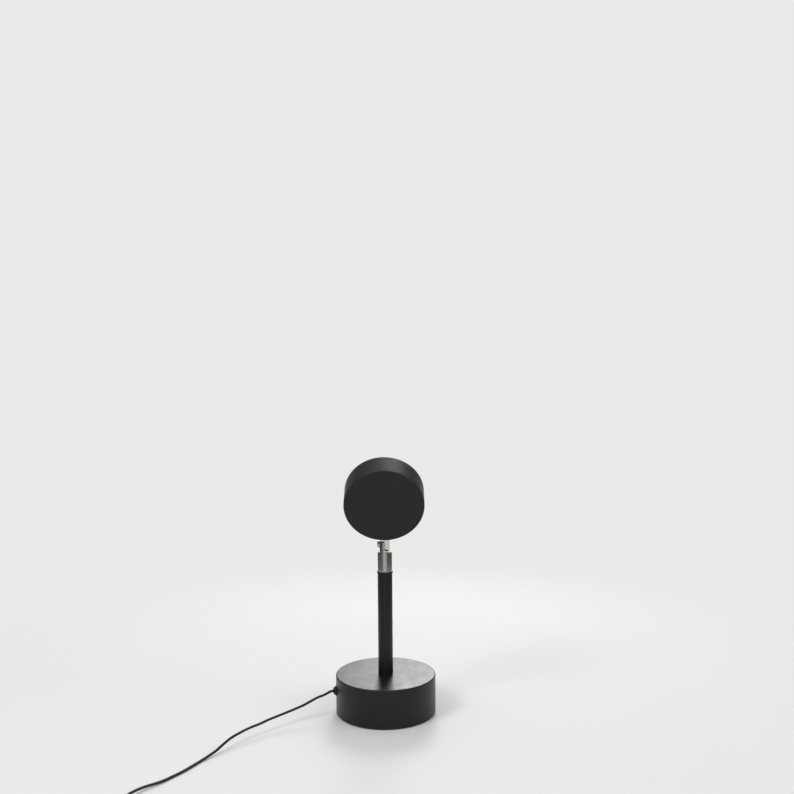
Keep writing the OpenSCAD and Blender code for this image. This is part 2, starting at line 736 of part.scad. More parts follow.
// What is cut out of an ear for the screw, for the wires' channel and for their way in
module ear_cuts(screw_play, slot_end) {
    along_x(-cut) cylinder(d = hinge_dia + 2 * screw_play, h = ear_reach + 2 * cut);
    along_x(-cut) difference() {
        cylinder(r = channel_out_r, h = cut + ear_gap / 2 + channel_depth);
        cylinder(r = channel_in_r, h = cut + ear_gap / 2 + channel_depth);
    }
    translate([0, -wire_slot / 2, -slot_end])
        cube([ear_gap / 2 + channel_depth, wire_slot, slot_end - channel_in_r - 1]);
}
module knuckle_lower() {
    color([0.78, 0.77, 0.75]) difference() {
        union() {
            translate([0, 0, knuckle_z])
                bevelled_rod(knuckle_r, knuckle_len - shoulder, edge_cut);
            translate([0, 0, hinge_z]) mirror([1, 0, 0]) ear(shoulder + cut);
        }
        translate([0, 0, knuckle_z - cut]) cylinder(d = journal_dia + 2 * thread_fit,
            h = stud_top + 0.5 - knuckle_z + cut);
        translate([0, 0, hinge_z]) mirror([1, 0, 0])
            ear_cuts(thread_fit, hinge_z - stud_top - 0.4);
        translate([0, 0, knuckle_z + set_screw_z]) rotate([-90, 0, 0])
            cylinder(d = set_screw_dia + 2 * thread_fit, h = knuckle_dia);
    }
}
module swivel_set_screw() {
    tip_r = journal_dia / 2 - groove_depth + 0.2;
    body_r = journal_dia / 2 + 0.3;
    color([0.35, 0.35, 0.36]) translate([0, 0, knuckle_z + set_screw_z]) rotate([-90, 0, 0])
        difference() {
            union() {
                translate([0, 0, tip_r]) cylinder(d = set_screw_tip_dia, h = knuckle_r - tip_r - 0.3);
                translate([0, 0, body_r]) cylinder(d = set_screw_dia, h = knuckle_r - body_r - 0.2);
            }
            translate([-set_screw_dia, -0.25, knuckle_r - 0.9])
                cube([2 * set_screw_dia, 0.5, 1]);
        }
}
module hinge_screw() {
    head_x = -ear_reach - hinge_washer_t;
    color([0.8, 0.79, 0.77]) translate([0, 0, hinge_z]) along_x(head_x) difference() {
        union() {
            translate([0, 0, -hinge_head_h]) intersection() {
                cylinder(d = hinge_head_dia, h = hinge_head_h);
                translate([0, 0, hinge_head_dia]) sphere(hinge_head_dia * 1.05);
            }
            cylinder(d = hinge_dia, h = ear_reach - head_x - 0.1);
        }
        translate([-hinge_head_dia, -0.45, -hinge_head_h - cut])
            cube([2 * hinge_head_dia, 0.9, cut + 0.9]);
    }
}
module hinge_washer() {
    color([0.6, 0.6, 0.62]) translate([0, 0, hinge_z]) along_x(-ear_reach - hinge_washer_t)
        pipe(hinge_head_dia + 0.4, hinge_dia + 2 * thread_fit, hinge_washer_t);
}
module knuckle_upper() {
    color([0.78, 0.77, 0.75]) at_head() difference() {
        union() {
            translate([0, 0, shoulder]) cylinder(r = knuckle_r, h = neck_len + 1 - shoulder);
            rotate([180, 0, 0]) ear(shoulder + cut);
        }
        translate([0, 0, head_arm]) rotate([90, 0, 0]) translate([0, 0, -head_len])
            cylinder(r = head_r + face_gap, h = 2 * head_len);
        rotate([180, 0, 0]) ear_cuts(thread_fit, neck_stud_z + 0.2);
        translate([0, 0, neck_stud_z - 0.1])
            cylinder(d = neck_stud_dia + 2 * thread_fit, h = neck_len);
    }
}
module knuckle_wires() {
    color([0.75, 0.1, 0.08]) tube(knuckle_wires_path, wire_dia / 2, loose_sides, [1, 0, 0]);
}

// What holds the head to the knuckle
module neck_stud() {
    color([0.8, 0.7, 0.4]) at_head() translate([0, 0, neck_stud_z])
        pipe(neck_stud_dia, neck_stud_bore, neck_stud_top - neck_stud_z);
}
module neck_washer() {
    color([0.7, 0.7, 0.72]) at_head() intersection() {
        translate([0, 0, neck_nut_z - 2 * neck_washer_rise])
            pipe(neck_washer_dia, neck_stud_dia + 2 * thread_fit, 2 * neck_washer_rise);
        translate([0, 0, head_arm]) rotate([90, 0, 0]) translate([0, 0, -head_len / 2])
            cylinder(r = head_inner_r - face_gap, h = head_len, $fn = 720);
    }
}
module neck_nut() {
    color([0.75, 0.75, 0.77]) at_head() translate([0, 0, neck_nut_z])
        hex_nut(neck_nut_width, neck_stud_dia + 2 * thread_fit, neck_nut_h);
}

// The head
module head_shell() {
    color([0.05, 0.05, 0.055]) difference() {
        in_drum() union() {
            rotate_extrude() difference() {
                union() {
                    translate([0, head_edge_r - head_len / 2]) square([head_r, head_len - head_edge_r]);
                    translate([0, -head_len / 2]) square([head_r - head_edge_r, head_len]);
                    translate([head_r - head_edge_r, head_edge_r - head_len / 2])
                        circle(head_edge_r);
                }
                translate([-cut, drum_floor]) square([head_inner_r + cut, head_len]);
                translate([-2 * head_r, -head_len]) square([2 * head_r, 2 * head_len]);
            }
            round_post(sink_screw_turns, sink_screw_r) translate([0, 0, drum_floor - head_back_t / 2])
                difference() {
                    cylinder(d = sink_post_dia, h = fin_h + head_back_t / 2);
                    translate([0, 0, head_back_t / 2])
                        cylinder(d = sink_screw_dia + 2 * thread_fit, h = fin_h + cut);
                }
        }
        at_head() translate([0, 0, neck_len - cut])
            cylinder(d = neck_stud_dia + 2 * thread_fit, h = head_wall + 2 * cut + 1);
    }
}
module heat_sink() {
    color([0.7, 0.71, 0.73]) in_drum() difference() {
        union() {
            translate([0, 0, sink_back]) cylinder(d = sink_dia, h = sink_plate_t);
            intersection() {
                translate([0, 0, drum_floor]) cylinder(d = sink_dia, h = fin_h + sink_plate_t / 2);
                for (x = [-fins_aside:fins_aside]) {
                    translate([x * fin_pitch - fin_t / 2, -sink_dia / 2, drum_floor])
                        cube([fin_t, sink_dia, fin_h + sink_plate_t / 2]);
                }
            }
        }
        round_post(sink_screw_turns, sink_screw_r) translate([0, 0, drum_floor - cut]) {
            cylinder(d = sink_post_dia + 2 * seat_gap, h = fin_h + cut);
            cylinder(d = sink_screw_dia + screw_head_play, h = fin_h + sink_plate_t + 2 * cut);
        }
        round_post([0, 180], board_screw_r) translate([0, 0, sink_back - cut])
            cylinder(d = board_screw_dia + 2 * thread_fit, h = sink_plate_t + 2 * cut);
    }
}
module sink_screws() {
    color([0.7, 0.7, 0.72]) in_drum() round_post(sink_screw_turns, sink_screw_r)
        translate([0, 0, sink_front]) mirror([0, 0, 1])
        pan_screw(sink_screw_dia, sink_plate_t + fin_h - 0.2,
            sink_screw_dia + sink_screw_head[0], sink_screw_head[1]);
}
module led_board() {
    color([0.92, 0.92, 0.9]) in_drum() translate([0, 0, sink_front]) difference() {
        cylinder(d = board_dia, h = board_t);
        round_post([0, 180], board_screw_r) translate([0, 0, -cut])
            cylinder(d = board_screw_dia + screw_head_play, h = board_t + 2 * cut);
    }
}
module led_chip() {
    color([0.95, 0.8, 0.2]) in_drum() translate([0, 0, board_front]) {
        translate([-chip_width / 2, -chip_width / 2, 0])
            cube([chip_width, chip_width, chip_t / 2]);
        cylinder(d = chip_width * 0.85, h = chip_t);
    }
}
module board_screws() {
    color([0.7, 0.7, 0.72]) in_drum() round_post([0, 180], board_screw_r)
        translate([0, 0, board_front]) mirror([0, 0, 1])
        pan_screw(board_screw_dia, board_t + sink_plate_t - 0.1,
            board_screw_dia + board_screw_head[0], board_screw_head[1]);
}
module head_wires() {
    color([0.75, 0.1, 0.08]) at_head() tube(head_wires_path, wire_dia / 2, loose_sides, [1, 0, 0]);
}
module reflector() {
    foot_r = eye_r + cone_drop / cone_slope;
    back_r = eye_r + (lens_seat - reflector_t - board_front + cone_drop) / cone_slope;
    color([0.85, 0.86, 0.88]) difference() {
        in_drum() rotate_extrude() polygon([
            [eye_r, board_front], [foot_r, board_front], [back_r, lens_seat - reflector_t],
            [head_inner_r - thread_fit, lens_seat - reflector_t],
            [head_inner_r - thread_fit, lens_seat], [lens_r + rim_gap + rim_t, lens_seat],
            [lens_r + rim_gap + rim_t, lens_step - 0.1], [lens_r + rim_gap, lens_step - 0.1],
            [lens_r + rim_gap, lens_seat], [mouth_r, lens_seat]
        ]);
        at_head() translate([-neck_washer_dia / 2 - cut, -neck_washer_dia / 2 - cut, neck_len])
            cube([neck_washer_dia + 2 * cut, neck_washer_dia + head_len,
                neck_stud_top + 0.5 - neck_len]);
    }
}
module lens_gasket() {
    color([0.1, 0.1, 0.1]) in_drum() translate([0, 0, lens_seat])
        pipe(lens_dia - 0.2, 2 * mouth_r, gasket_t);
}
module lens() {
    color([1, 0.55, 0.2]) in_drum() intersection() {
        translate([0, 0, lens_back]) cylinder(r = lens_r, h = lens_edge_t + lens_rise + cut);
        translate([0, 0, drum_front - lens_ball_r]) sphere(lens_ball_r, $fn = 180);
    }
}
module front_ring() {
    ring_r = head_inner_r - thread_fit;
    lip_r = mouth_r + ring_bite;
    color([0.05, 0.05, 0.055]) in_drum() rotate_extrude() polygon([
        [lip_r, lens_step + dome(lip_r) + face_gap], [lens_r, lens_step + face_gap],
        [lens_r + rim_gap, lens_step], [ring_r, lens_step],
        [ring_r, bezel_front - edge_cut], [ring_r - edge_cut, bezel_front],
        [lens_r + 1.5, bezel_front]
    ]);
}

// The cord's free stretches, and the coil that stows what isn't in use
module cord_run() {
    color([0.04, 0.04, 0.04]) from_tip() tube(run_path, cord_r, loose_sides);
}
module cord_coil() {
    color([0.04, 0.04, 0.04]) from_tip() tube(coil_path, cord_r, coil_sides);
}
module cord_tail() {
    color([0.04, 0.04, 0.04]) from_tip() tube(tail_path, cord_r, loose_sides);
}
module plug_lead() {
    color([0.04, 0.04, 0.04]) from_tip() tube(lead_path, cord_r, loose_sides);
}

// The in-line switch
module switch_casing() {
    difference() {
        soft_block(switch_len, switch_width, switch_h, switch_plan_r, switch_edge_r);
        translate([0, 0, switch_wall]) soft_block(switch_len - 2 * switch_wall,
            switch_width - 2 * switch_wall, switch_h - 2 * switch_wall,
            switch_plan_r - switch_wall, switch_edge_r / 2);
        translate([0, 0, switch_split]) along_x(-switch_len) cylinder(d = gland_bore,
            h = 2 * switch_len);
    }
}
module switch_slice(z, h) {
    translate([-switch_len, -switch_width, z]) cube([2 * switch_len, 2 * switch_width, h]);
}
module switch_base() {
    board_z = board_top - switch_board_t;
    color([0.06, 0.06, 0.06]) at_switch() {
        intersection() {
            switch_casing();
            switch_slice(-cut, switch_split + cut);
        }
        for (x = [-switch_post_x, switch_post_x]) {
            translate([x - switch_post_t / 2, 1 - switch_width / 2, switch_wall / 2])
                cube([switch_post_t, switch_width - 2, board_z - switch_wall / 2]);
        }
    }
}
module switch_cover() {
    color([0.06, 0.06, 0.06]) at_switch() difference() {
        intersection() {
            switch_casing();
            switch_slice(switch_split, switch_h);
        }
        translate([0, 0, switch_split]) cylinder(d = button_dia + button_play, h = switch_h);
    }
}
module switch_button() {
    edge = button_edge_r;
    cap_h = switch_h + button_rise - button_flange_z;
    color([0.12, 0.12, 0.12]) at_switch() {
        translate([0, 0, button_flange_z]) {
            cylinder(d = button_dia + 2 * button_flange_over, h = button_flange_t);
            rotate_extrude() {
                square([button_dia / 2, cap_h - edge]);
                square([button_dia / 2 - edge, cap_h]);
                translate([button_dia / 2 - edge, cap_h - edge]) circle(edge);
            }
        }
        translate([0, 0, board_top + module_h - stem_bite]) cylinder(d = stem_dia,
            h = button_flange_z + button_flange_t / 2 - board_top - module_h + stem_bite);
    }
}
module switch_board() {
    wide = switch_width - 2 * switch_board_side;
    color([0.1, 0.4, 0.2]) at_switch()
        translate([-switch_board_len / 2, -wide / 2, board_top - switch_board_t])
        cube([switch_board_len, wide, switch_board_t]);
}
module switch_module() {
    color([0.2, 0.2, 0.22]) at_switch() translate([0, 0, board_top]) difference() {
        translate([-module_width / 2, -module_width / 2, 0])
            cube([module_width, module_width, module_h]);
        translate([0, 0, module_floor]) cylinder(d = stem_dia + 4 * thread_fit, h = module_h);
    }
}
module switch_wires() {
    reach = switch_len / 2 - cord_hold;
    color([0.75, 0.1, 0.08]) at_switch()
        for (x = [-1, 1], y = [-1, 1]) {
            translate([x > 0 ? module_width / 2 + 1 : -reach, switch_wire_y * y,
                board_top + switch_wire_dia / 2])
                rotate([0, 90, 0])
                cylinder(d = switch_wire_dia, h = reach - module_width / 2 - 1);
        }
}

// The plug
module plug_grip() {
    color([0.05, 0.05, 0.05]) at_plug() difference() {
        union() {
            translate([relief_len + grip_len / 2, 0, -grip_h / 2])
                soft_block(grip_len, grip_width, grip_h, 3, 1.8);
            along_x(0) cylinder(d1 = cord_dia + 1.2, d2 = grip_h * 0.8, h = relief_len + 1);
        }
        translate([relief_len + grip_len - shell_seat, -shell_w / 2 - 0.05, -shell_h / 2 - 0.05])
            cube([shell_seat + cut, shell_w + 0.1, shell_h + 0.1]);
    }
}
module plug_shell() {
    shell_x = relief_len + grip_len - shell_seat;
    full = shell_seat + shell_len;
    color([0.8, 0.8, 0.82]) at_plug() difference() {
        translate([shell_x, -shell_w / 2, -shell_h / 2]) cube([full, shell_w, shell_h]);
        translate([shell_x - cut, shell_skin - shell_w / 2, shell_skin - shell_h / 2])
            cube([full + 2 * cut, shell_w - 2 * shell_skin, shell_h - 2 * shell_skin]);
        for (y = [-1, 1]) {
            translate([shell_x + full - 7, y * 2.9 - 1.25, -shell_h]) cube([2, 2.5, 2 * shell_h]);
        }
    }
}
module plug_tongue() {
    low = shell_skin - shell_h / 2 + tongue_play;
    wide = shell_w - 2 * shell_skin - 2 * tongue_play;
    color([0.9, 0.9, 0.92]) at_plug()
        translate([relief_len + grip_len - shell_seat, -wide / 2, low])
        cube([shell_seat + shell_len - 0.8, wide, tongue_h]);
}
module plug_contacts() {
    top = shell_skin - shell_h / 2 + tongue_play + tongue_h;
    color([0.85, 0.68, 0.3]) at_plug() for (y = contact_places) {
        translate([relief_len + grip_len + shell_len - 2 - contact_len,
            y - contact_width / 2, top]) cube([contact_len, contact_width, contact_t]);
    }
}

base_shell();
base_plate();
base_pad();
ballast_weight();
plate_screws();
cable_gland();
cord_stop();
stand_lead();
pole_nipple();
pole_washer();
pole_nut();
pole_tube();
pole_collar();
swivel_stud();
swivel_washer();
knuckle_lower();
swivel_set_screw();
hinge_screw();
hinge_washer();
knuckle_upper();
knuckle_wires();
neck_stud();
neck_washer();
neck_nut();
head_shell();
heat_sink();
sink_screws();
led_board();
led_chip();
board_screws();
head_wires();
reflector();
lens_gasket();
lens();
front_ring();
cord_run();
cord_coil();
cord_tail();
plug_lead();
switch_base();
switch_cover();
switch_button();
switch_board();
switch_module();
switch_wires();
plug_grip();
plug_shell();
plug_tongue();
plug_contacts();
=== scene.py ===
# %% [markdown]
# # A sunset projection lamp
# This lesson dresses a lamp that is already built as a mechanical model. The model is the
# fixed frame: it has a weighted round base, a slim pole, a knuckle that swivels and tilts, and
# a drum-shaped head with a convex lens. A thin cord with a switch and a USB plug feeds it. Every
# piece made here sits where the frame says, in metres, and rides on one of the frame's bodies.

import json
import math

import bmesh
import bpy
import numpy as np
from mathutils import Matrix, Vector


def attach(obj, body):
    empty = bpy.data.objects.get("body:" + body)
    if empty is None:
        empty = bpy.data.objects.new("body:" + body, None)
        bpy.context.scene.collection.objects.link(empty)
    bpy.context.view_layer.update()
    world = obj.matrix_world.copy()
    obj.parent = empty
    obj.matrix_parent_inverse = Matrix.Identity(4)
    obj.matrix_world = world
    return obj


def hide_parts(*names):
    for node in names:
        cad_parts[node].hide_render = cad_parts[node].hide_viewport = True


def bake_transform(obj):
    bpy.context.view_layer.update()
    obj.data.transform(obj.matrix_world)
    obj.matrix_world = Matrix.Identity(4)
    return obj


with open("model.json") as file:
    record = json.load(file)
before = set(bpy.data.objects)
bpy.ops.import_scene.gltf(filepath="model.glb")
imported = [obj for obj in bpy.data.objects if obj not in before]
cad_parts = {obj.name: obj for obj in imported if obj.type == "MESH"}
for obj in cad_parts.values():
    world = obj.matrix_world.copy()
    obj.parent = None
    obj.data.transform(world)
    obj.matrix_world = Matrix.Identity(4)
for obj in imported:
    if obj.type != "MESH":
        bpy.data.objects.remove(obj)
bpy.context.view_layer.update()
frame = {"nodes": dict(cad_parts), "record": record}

# %% [markdown]
# ## The camera
# The photograph looks at the lamp from behind and a little above. The camera stands a metre
# away and is tipped down by less than four degrees. Its place and angles were found by fitting
# the edges of the base, the pole, the knuckle and the head. It is made first, because the cord
# has to leave its view where the photograph says.

# %% The camera
MM = 0.001
PICTURE, FOCAL_PIXELS, SENSOR = 794, 1000, 36
CAMERA_AT, TIPPED_DOWN, ROLLED = (13.6, -1007.4, 387.1), 3.59, -0.41


def in_scene(name, data):
    """A new object with this data, linked to the scene."""
    made = bpy.data.objects.new(name, data)
    bpy.context.scene.collection.objects.link(made)
    return made


camera = in_scene("camera", bpy.data.cameras.new("camera"))
camera.location = [mm * MM for mm in CAMERA_AT]
camera.rotation_mode = "QUATERNION"
camera.rotation_quaternion = (
    Matrix.Rotation(math.radians(90 - TIPPED_DOWN), 4, "X")
    @ Matrix.Rotation(math.radians(ROLLED), 4, "Z")
).to_quaternion()
camera.data.sensor_width = SENSOR
camera.data.lens = SENSOR * FOCAL_PIXELS / PICTURE
camera.data.clip_start = 10 * MM
bpy.context.scene.camera = camera
print(f"camera lens: {camera.data.lens:.2f} mm")

# %% [markdown]
# ## Surfaces on a grid
# Nearly every piece of this lamp is turned, drawn or moulded, so its skin is a function of two
# parameters: round and along. One helper joins a grid of points into faces, and another welds
# such grids into a closed shell and turns its faces outwards. Whole arrays do this quickly, and
# the same two helpers then serve the cord, the base and the smallest button.

# %% Grids and closed shells
WELD, KEY_SHIFT = 1e-7, 0.137


def grid_quads(rows, columns, wrap_rows, wrap_columns):
    """The quads of a grid of points counted row by row. Each joins a point, the next one in
    its row and the two beside these in the next row. A wrapped direction joins its end to
    its start."""
    row, column = np.meshgrid(
        np.arange(rows - (not wrap_rows)), np.arange(columns - (not wrap_columns)), indexing="ij"
    )
    below, right = (row + 1) % rows, (column + 1) % columns
    corners = [(row, column), (row, right), (below, right), (below, column)]
    return np.stack([r * columns + c for r, c in corners], -1).reshape(-1, 4)


def closed_shell(*sheets):
    """Welds sheets, each (points in rows and columns, wrap rows, wrap columns), into one shell.
    Points that round to the same tenth of a micrometre become one, and a quad squashed at one
    side becomes a triangle. The volume is the sum over triangles of the triple product of
    their corners, over six: where it is negative, every face is turned round."""
    points, quads, start = [], [], 0
    for grid, wrap_rows, wrap_columns in sheets:
        rows, columns = grid.shape[:2]
        points.append(grid.reshape(-1, 3))
        quads.append(start + grid_quads(rows, columns, wrap_rows, wrap_columns))
        start += rows * columns
    points, quads = np.concatenate(points), np.concatenate(quads)
    keys = np.floor(points / WELD + KEY_SHIFT).astype(np.int64)
    _, first, same = np.unique(keys, axis=0, return_index=True, return_inverse=True)
    points, quads = points[first], same.reshape(-1)[quads]
    squashed = quads == np.roll(quads, -1, axis=1)
    once = squashed.sum(1) == 1
    triangles = quads[once][~squashed[once]].reshape(-1, 3)
    quads = quads[~squashed.any(1)]
    halves = np.concatenate([triangles, quads[:, [0, 1, 2]], quads[:, [0, 2, 3]]])
    a, b, c = points[halves].transpose(1, 0, 2)
    if (a * np.cross(b, c)).sum() < 0:
        quads, triangles = quads[:, ::-1], triangles[:, ::-1]
    return points, quads, triangles


def moved(shell, turn=None, to=(0, 0, 0), mirror_x=False):
    """The shell with every point turned by a 3 by 3 matrix, then moved. Mirrored in X first
    where asked, which also turns its faces round."""
    points, quads, triangles = shell
    if mirror_x:
        points = points * (-1, 1, 1)
        quads, triangles = quads[:, ::-1], triangles[:, ::-1]
    if turn is not None:
        points = points @ np.asarray(turn).T
    return points + np.asarray(to, float), quads, triangles


print("a grid of 3 by 4 points has", len(grid_quads(3, 4, False, False)), "quads")

# %% From shells to a piece


def edge_turn(points, *face_sets):
    """How far the faces at each point turn from each other: one less the length of the mean
    of their unit normals. It is nothing on a flat and most along a rounded edge."""
    total, count = np.zeros((len(points), 3)), np.zeros(len(points))
    for faces in face_sets:
        p = points[faces]
        normals = np.cross(p[:, 2] - p[:, 0], p[:, -1] - p[:, 1])
        normals /= np.linalg.norm(normals, axis=1)[:, None] + 1e-20
        np.add.at(total, faces, normals[:, None])
        np.add.at(count, faces, 1)
    return 1 - np.linalg.norm(total, axis=1) / np.maximum(count, 1)


def smooth_in(mesh, material):
    """Shades a mesh smooth and gives it one material."""
    mesh.polygons.foreach_set("use_smooth", np.ones(len(mesh.polygons), bool))
    mesh.materials.clear()
    mesh.materials.append(material)


def make_piece(name, shells, look, body, replaces=()):
    """Puts shells into one smooth mesh, notes on its points how sharply it turns there, gives it
    one of the lamp's finishes and hangs it on its body."""
    starts = np.cumsum([0] + [len(p) for p, _, _ in shells])
    points = np.concatenate([p for p, _, _ in shells])
    quads = np.concatenate([q + start for (_, q, _), start in zip(shells, starts)])
    triangles = np.concatenate([t + start for (_, _, t), start in zip(shells, starts)])
    mesh = bpy.data.meshes.new(name)
    mesh.from_pydata(points.tolist(), [], quads.tolist() + triangles.tolist())
    smooth_in(mesh, FINISHES[look])
    turns = mesh.attributes.new("edge_turn", "FLOAT", "POINT")
    turns.data.foreach_set("value", edge_turn(points, quads, triangles).astype(np.float32))
    mesh.update()
    piece = in_scene(name, mesh)
    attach(piece, body)
    if replaces:
        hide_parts(*replaces)
    print(f"{name}: {len(mesh.polygons)} faces on {body}")
    return piece


print("shells are ready to become pieces")

# %% [markdown]
# ## Turned profiles
# The base, pole, collar, drum, lens and rings were made on a lathe. A lathe part is a profile
# spun round an axis. Real turned edges are never sharp: a small round on each one catches the
# light, and in the photograph a bright line runs along the edge of the base's top. So each
# corner of a profile gets its own radius before it is spun.

# %% Rounded corners and the lathe


def rounded(corners, radii, steps=6, closed=False):
    """An outline in two dimensions whose corners become arcs. With a the unit direction into
    a corner, n the unit normal towards the side it bends to, and r the radius, the arc's point
    after turning by an angle t is start + r sin(t) a + r (1 - cos(t)) n, and the arc starts
    r tan(half the turn) before the corner. A point just outside each arc keeps the flats flat
    when the surface is shaded smooth."""
    corners, radii = np.array(corners, float), np.array(radii, float)
    into = corners - np.roll(corners, 1, 0)
    lengths = np.linalg.norm(into, axis=1)
    a = into / lengths[:, None]
    b = np.roll(a, -1, 0)
    cross = a[:, 0] * b[:, 1] - a[:, 1] * b[:, 0]
    turn = np.arctan2(cross, (a * b).sum(1))
    n = np.stack([-a[:, 1], a[:, 0]], 1) * np.sign(turn)[:, None]
    cut = radii * np.tan(np.abs(turn) / 2)
    if not closed:
        cut[[0, -1]] = radii[[0, -1]] = 0
    spare = lengths - cut - np.roll(cut, 1)
    keep_in = np.minimum(0.6 * radii, 0.3 * spare)[:, None]
    keep_out = np.minimum(0.6 * radii, 0.3 * np.roll(spare, -1))[:, None]
    t = np.abs(turn)[:, None] * np.linspace(0, 1, steps + 1)[None, :]
    begin = corners - a * cut[:, None]
    arc = (
        begin[:, None, :]
        + radii[:, None, None] * (np.sin(t)[..., None] * a[:, None, :])
        + radii[:, None, None] * ((1 - np.cos(t))[..., None] * n[:, None, :])
    )
    before = (begin - a * keep_in)[:, None, :]
    after = (corners + b * cut[:, None] + b * keep_out)[:, None, :]
    points = np.concatenate([before, arc, after], 1).reshape(-1, 2)
    if not closed:
        points = points[steps + 2 : len(points) - steps - 2]
        points[0], points[-1] = corners[0], corners[-1]
    apart = np.linalg.norm(points - np.roll(points, 1, 0), axis=1) > 1e-5
    apart[0] = True
    return points[apart]


def spun(r, h, turn):
    """Radii and heights spun round Z: (r cos t, r sin t, h) for every turn t."""
    return np.stack([r * np.cos(turn), r * np.sin(turn), h + 0 * turn], -1)


def lathe(profile, segments, closed=False):
    """A profile of (radius, height) points in millimetres, spun into a shell in metres. A
    closed profile makes a ring."""
    t = np.linspace(0, 2 * np.pi, segments, endpoint=False)
    return closed_shell((spun(profile[:, :1] * MM, profile[:, 1:] * MM, t), closed, True))


def turned(corners, radii, segments, closed=False):
    """An outline whose corners become arcs, spun."""
    return lathe(rounded(corners, radii, closed=closed), segments, closed)


def about(axis, degrees):
    """The 3 by 3 matrix that turns by an angle about X, Y or Z."""
    return np.array(Matrix.Rotation(math.radians(degrees), 3, axis))


square = rounded([[0, 0], [1, 0], [1, 1], [0, 1]], [0.1] * 4, closed=True)
print("a rounded square has", len(square), "points")

# %% [markdown]
# ## Finishes
# A finish is a small set of nodes: a base colour that varies a little in patches, a roughness
# that varies as fingers and dust leave it, and a fine grain that tips the surface. All of them
# read Object coordinates, so the pattern stays on the piece when the lamp moves and from any
# camera. The sizes are in millimetres, because powder coat, foam and moulded plastic are told
# apart by how large their grain is.

# %% Nodes by the line


def connect(tree, node, inputs):
    """Sets a node's inputs, by name or number. One that is given another node's output is
    linked to it."""
    for name, value in inputs.items():
        if isinstance(value, bpy.types.NodeSocket):
            tree.links.new(value, node.inputs[name])
        else:
            node.inputs[name].default_value = value


def add_node(tree, kind, inputs=None, **settings):
    """A new node of a kind, with its settings made before its inputs."""
    node = tree.nodes.new("ShaderNode" + kind)
    for name, value in settings.items():
        setattr(node, name, value)
    connect(tree, node, inputs or {})
    return node


print("nodes can be added")

# %% A finish from patches and grain
NOISE_LOW, NOISE_HIGH, LEAST_ROUGH = 0.3, 0.7, 0.02


def finish(
    name, colour, metallic, roughness, patch_mm, grain_mm, grain_depth_mm, swing=0.06,
    tint=0.08, stretch=(1, 1, 1), **shader_values,
):
    """A material whose colour is colour times 1 - tint to 1 + tint by a noise patch_mm wide,
    whose roughness swings round its middle by another, and whose grain, a noise grain_mm wide
    stretched along an axis, lifts the surface by grain_depth_mm."""
    material = bpy.data.materials.new(name)
    material.use_nodes = True
    tree = material.node_tree
    place = add_node(tree, "Mapping", {
        "Vector": add_node(tree, "TexCoord").outputs["Object"],
        "Scale": [s / MM for s in stretch],
    })

    def noise(size_mm, detail):
        inputs = {"Vector": place.outputs["Vector"], "Scale": 1 / size_mm, "Detail": detail}
        return add_node(tree, "TexNoise", inputs).outputs["Fac"]

    patches = add_node(tree, "Mix", {
        "A": [c * (1 - tint) for c in colour] + [1],
        "B": [min(1, c * (1 + tint)) for c in colour] + [1],
        "Factor": noise(patch_mm, 4),
    }, data_type="RGBA", name="colour in patches")
    wiped = add_node(tree, "MapRange", {
        "From Min": NOISE_LOW, "From Max": NOISE_HIGH,
        "To Min": max(LEAST_ROUGH, roughness - swing), "To Max": min(1, roughness + swing),
        "Value": noise(patch_mm / 3, 5),
    })
    grain = add_node(tree, "Bump", {
        "Strength": 1, "Distance": grain_depth_mm * MM, "Height": noise(grain_mm, 3),
    }, name="grain")
    connect(tree, tree.nodes["Principled BSDF"], {
        "Metallic": metallic, "Base Color": patches.outputs["Result"],
        "Roughness": wiped.outputs["Result"], "Normal": grain.outputs["Normal"],
        **{socket.replace("_", " "): value for socket, value in shader_values.items()},
    })
    return material


print("a finish can be made")

# %% Ridges and worn edges
TURN_FROM, TURN_FULL, WAVER = 0.0015, 0.008, 0.6


def add_ridges(material, pitch_mm, depth_mm, tipped=0, sharp=False):
    """Adds ridges to a finish, one every pitch_mm along Z once tipped about X: the height is
    a sine, or a saw's tooth for a screw thread, and the finish's grain goes on top of it. A
    wave of scale s repeats every pi / (10 s)."""
    tree = material.node_tree
    place = add_node(tree, "Mapping", {
        "Vector": add_node(tree, "TexCoord").outputs["Object"],
        "Rotation": (math.radians(tipped), 0, 0),
    })
    wave = add_node(tree, "TexWave", {
        "Vector": place.outputs["Vector"], "Scale": math.pi / 10 / (pitch_mm * MM),
        "Distortion": 0 if sharp else WAVER,
    }, bands_direction="Z", wave_profile="TRI" if sharp else "SIN")
    lift = add_node(tree, "Bump", {
        "Strength": 1, "Distance": depth_mm * MM, "Height": wave.outputs["Fac"],
    })
    connect(tree, tree.nodes["grain"], {"Normal": lift.outputs["Normal"]})


def add_worn_edges(material, colour, share):
    """Rubs a finish towards another colour along rounded edges, as handling does: the share
    rises with how sharply the piece turns, which make_piece noted on its points."""
    tree = material.node_tree
    rubbed = add_node(tree, "MapRange", {
        "Value": add_node(tree, "Attribute", attribute_name="edge_turn").outputs["Fac"],
        "From Min": TURN_FROM, "From Max": TURN_FULL, "To Max": share,
    })
    worn = add_node(tree, "Mix", {
        "A": tree.nodes["colour in patches"].outputs["Result"], "B": [*colour, 1],
        "Factor": rubbed.outputs["Result"],
    }, data_type="RGBA")
    connect(tree, tree.nodes["Principled BSDF"], {"Base Color": worn.outputs["Result"]})


print("a finish can have ridges and worn edges")

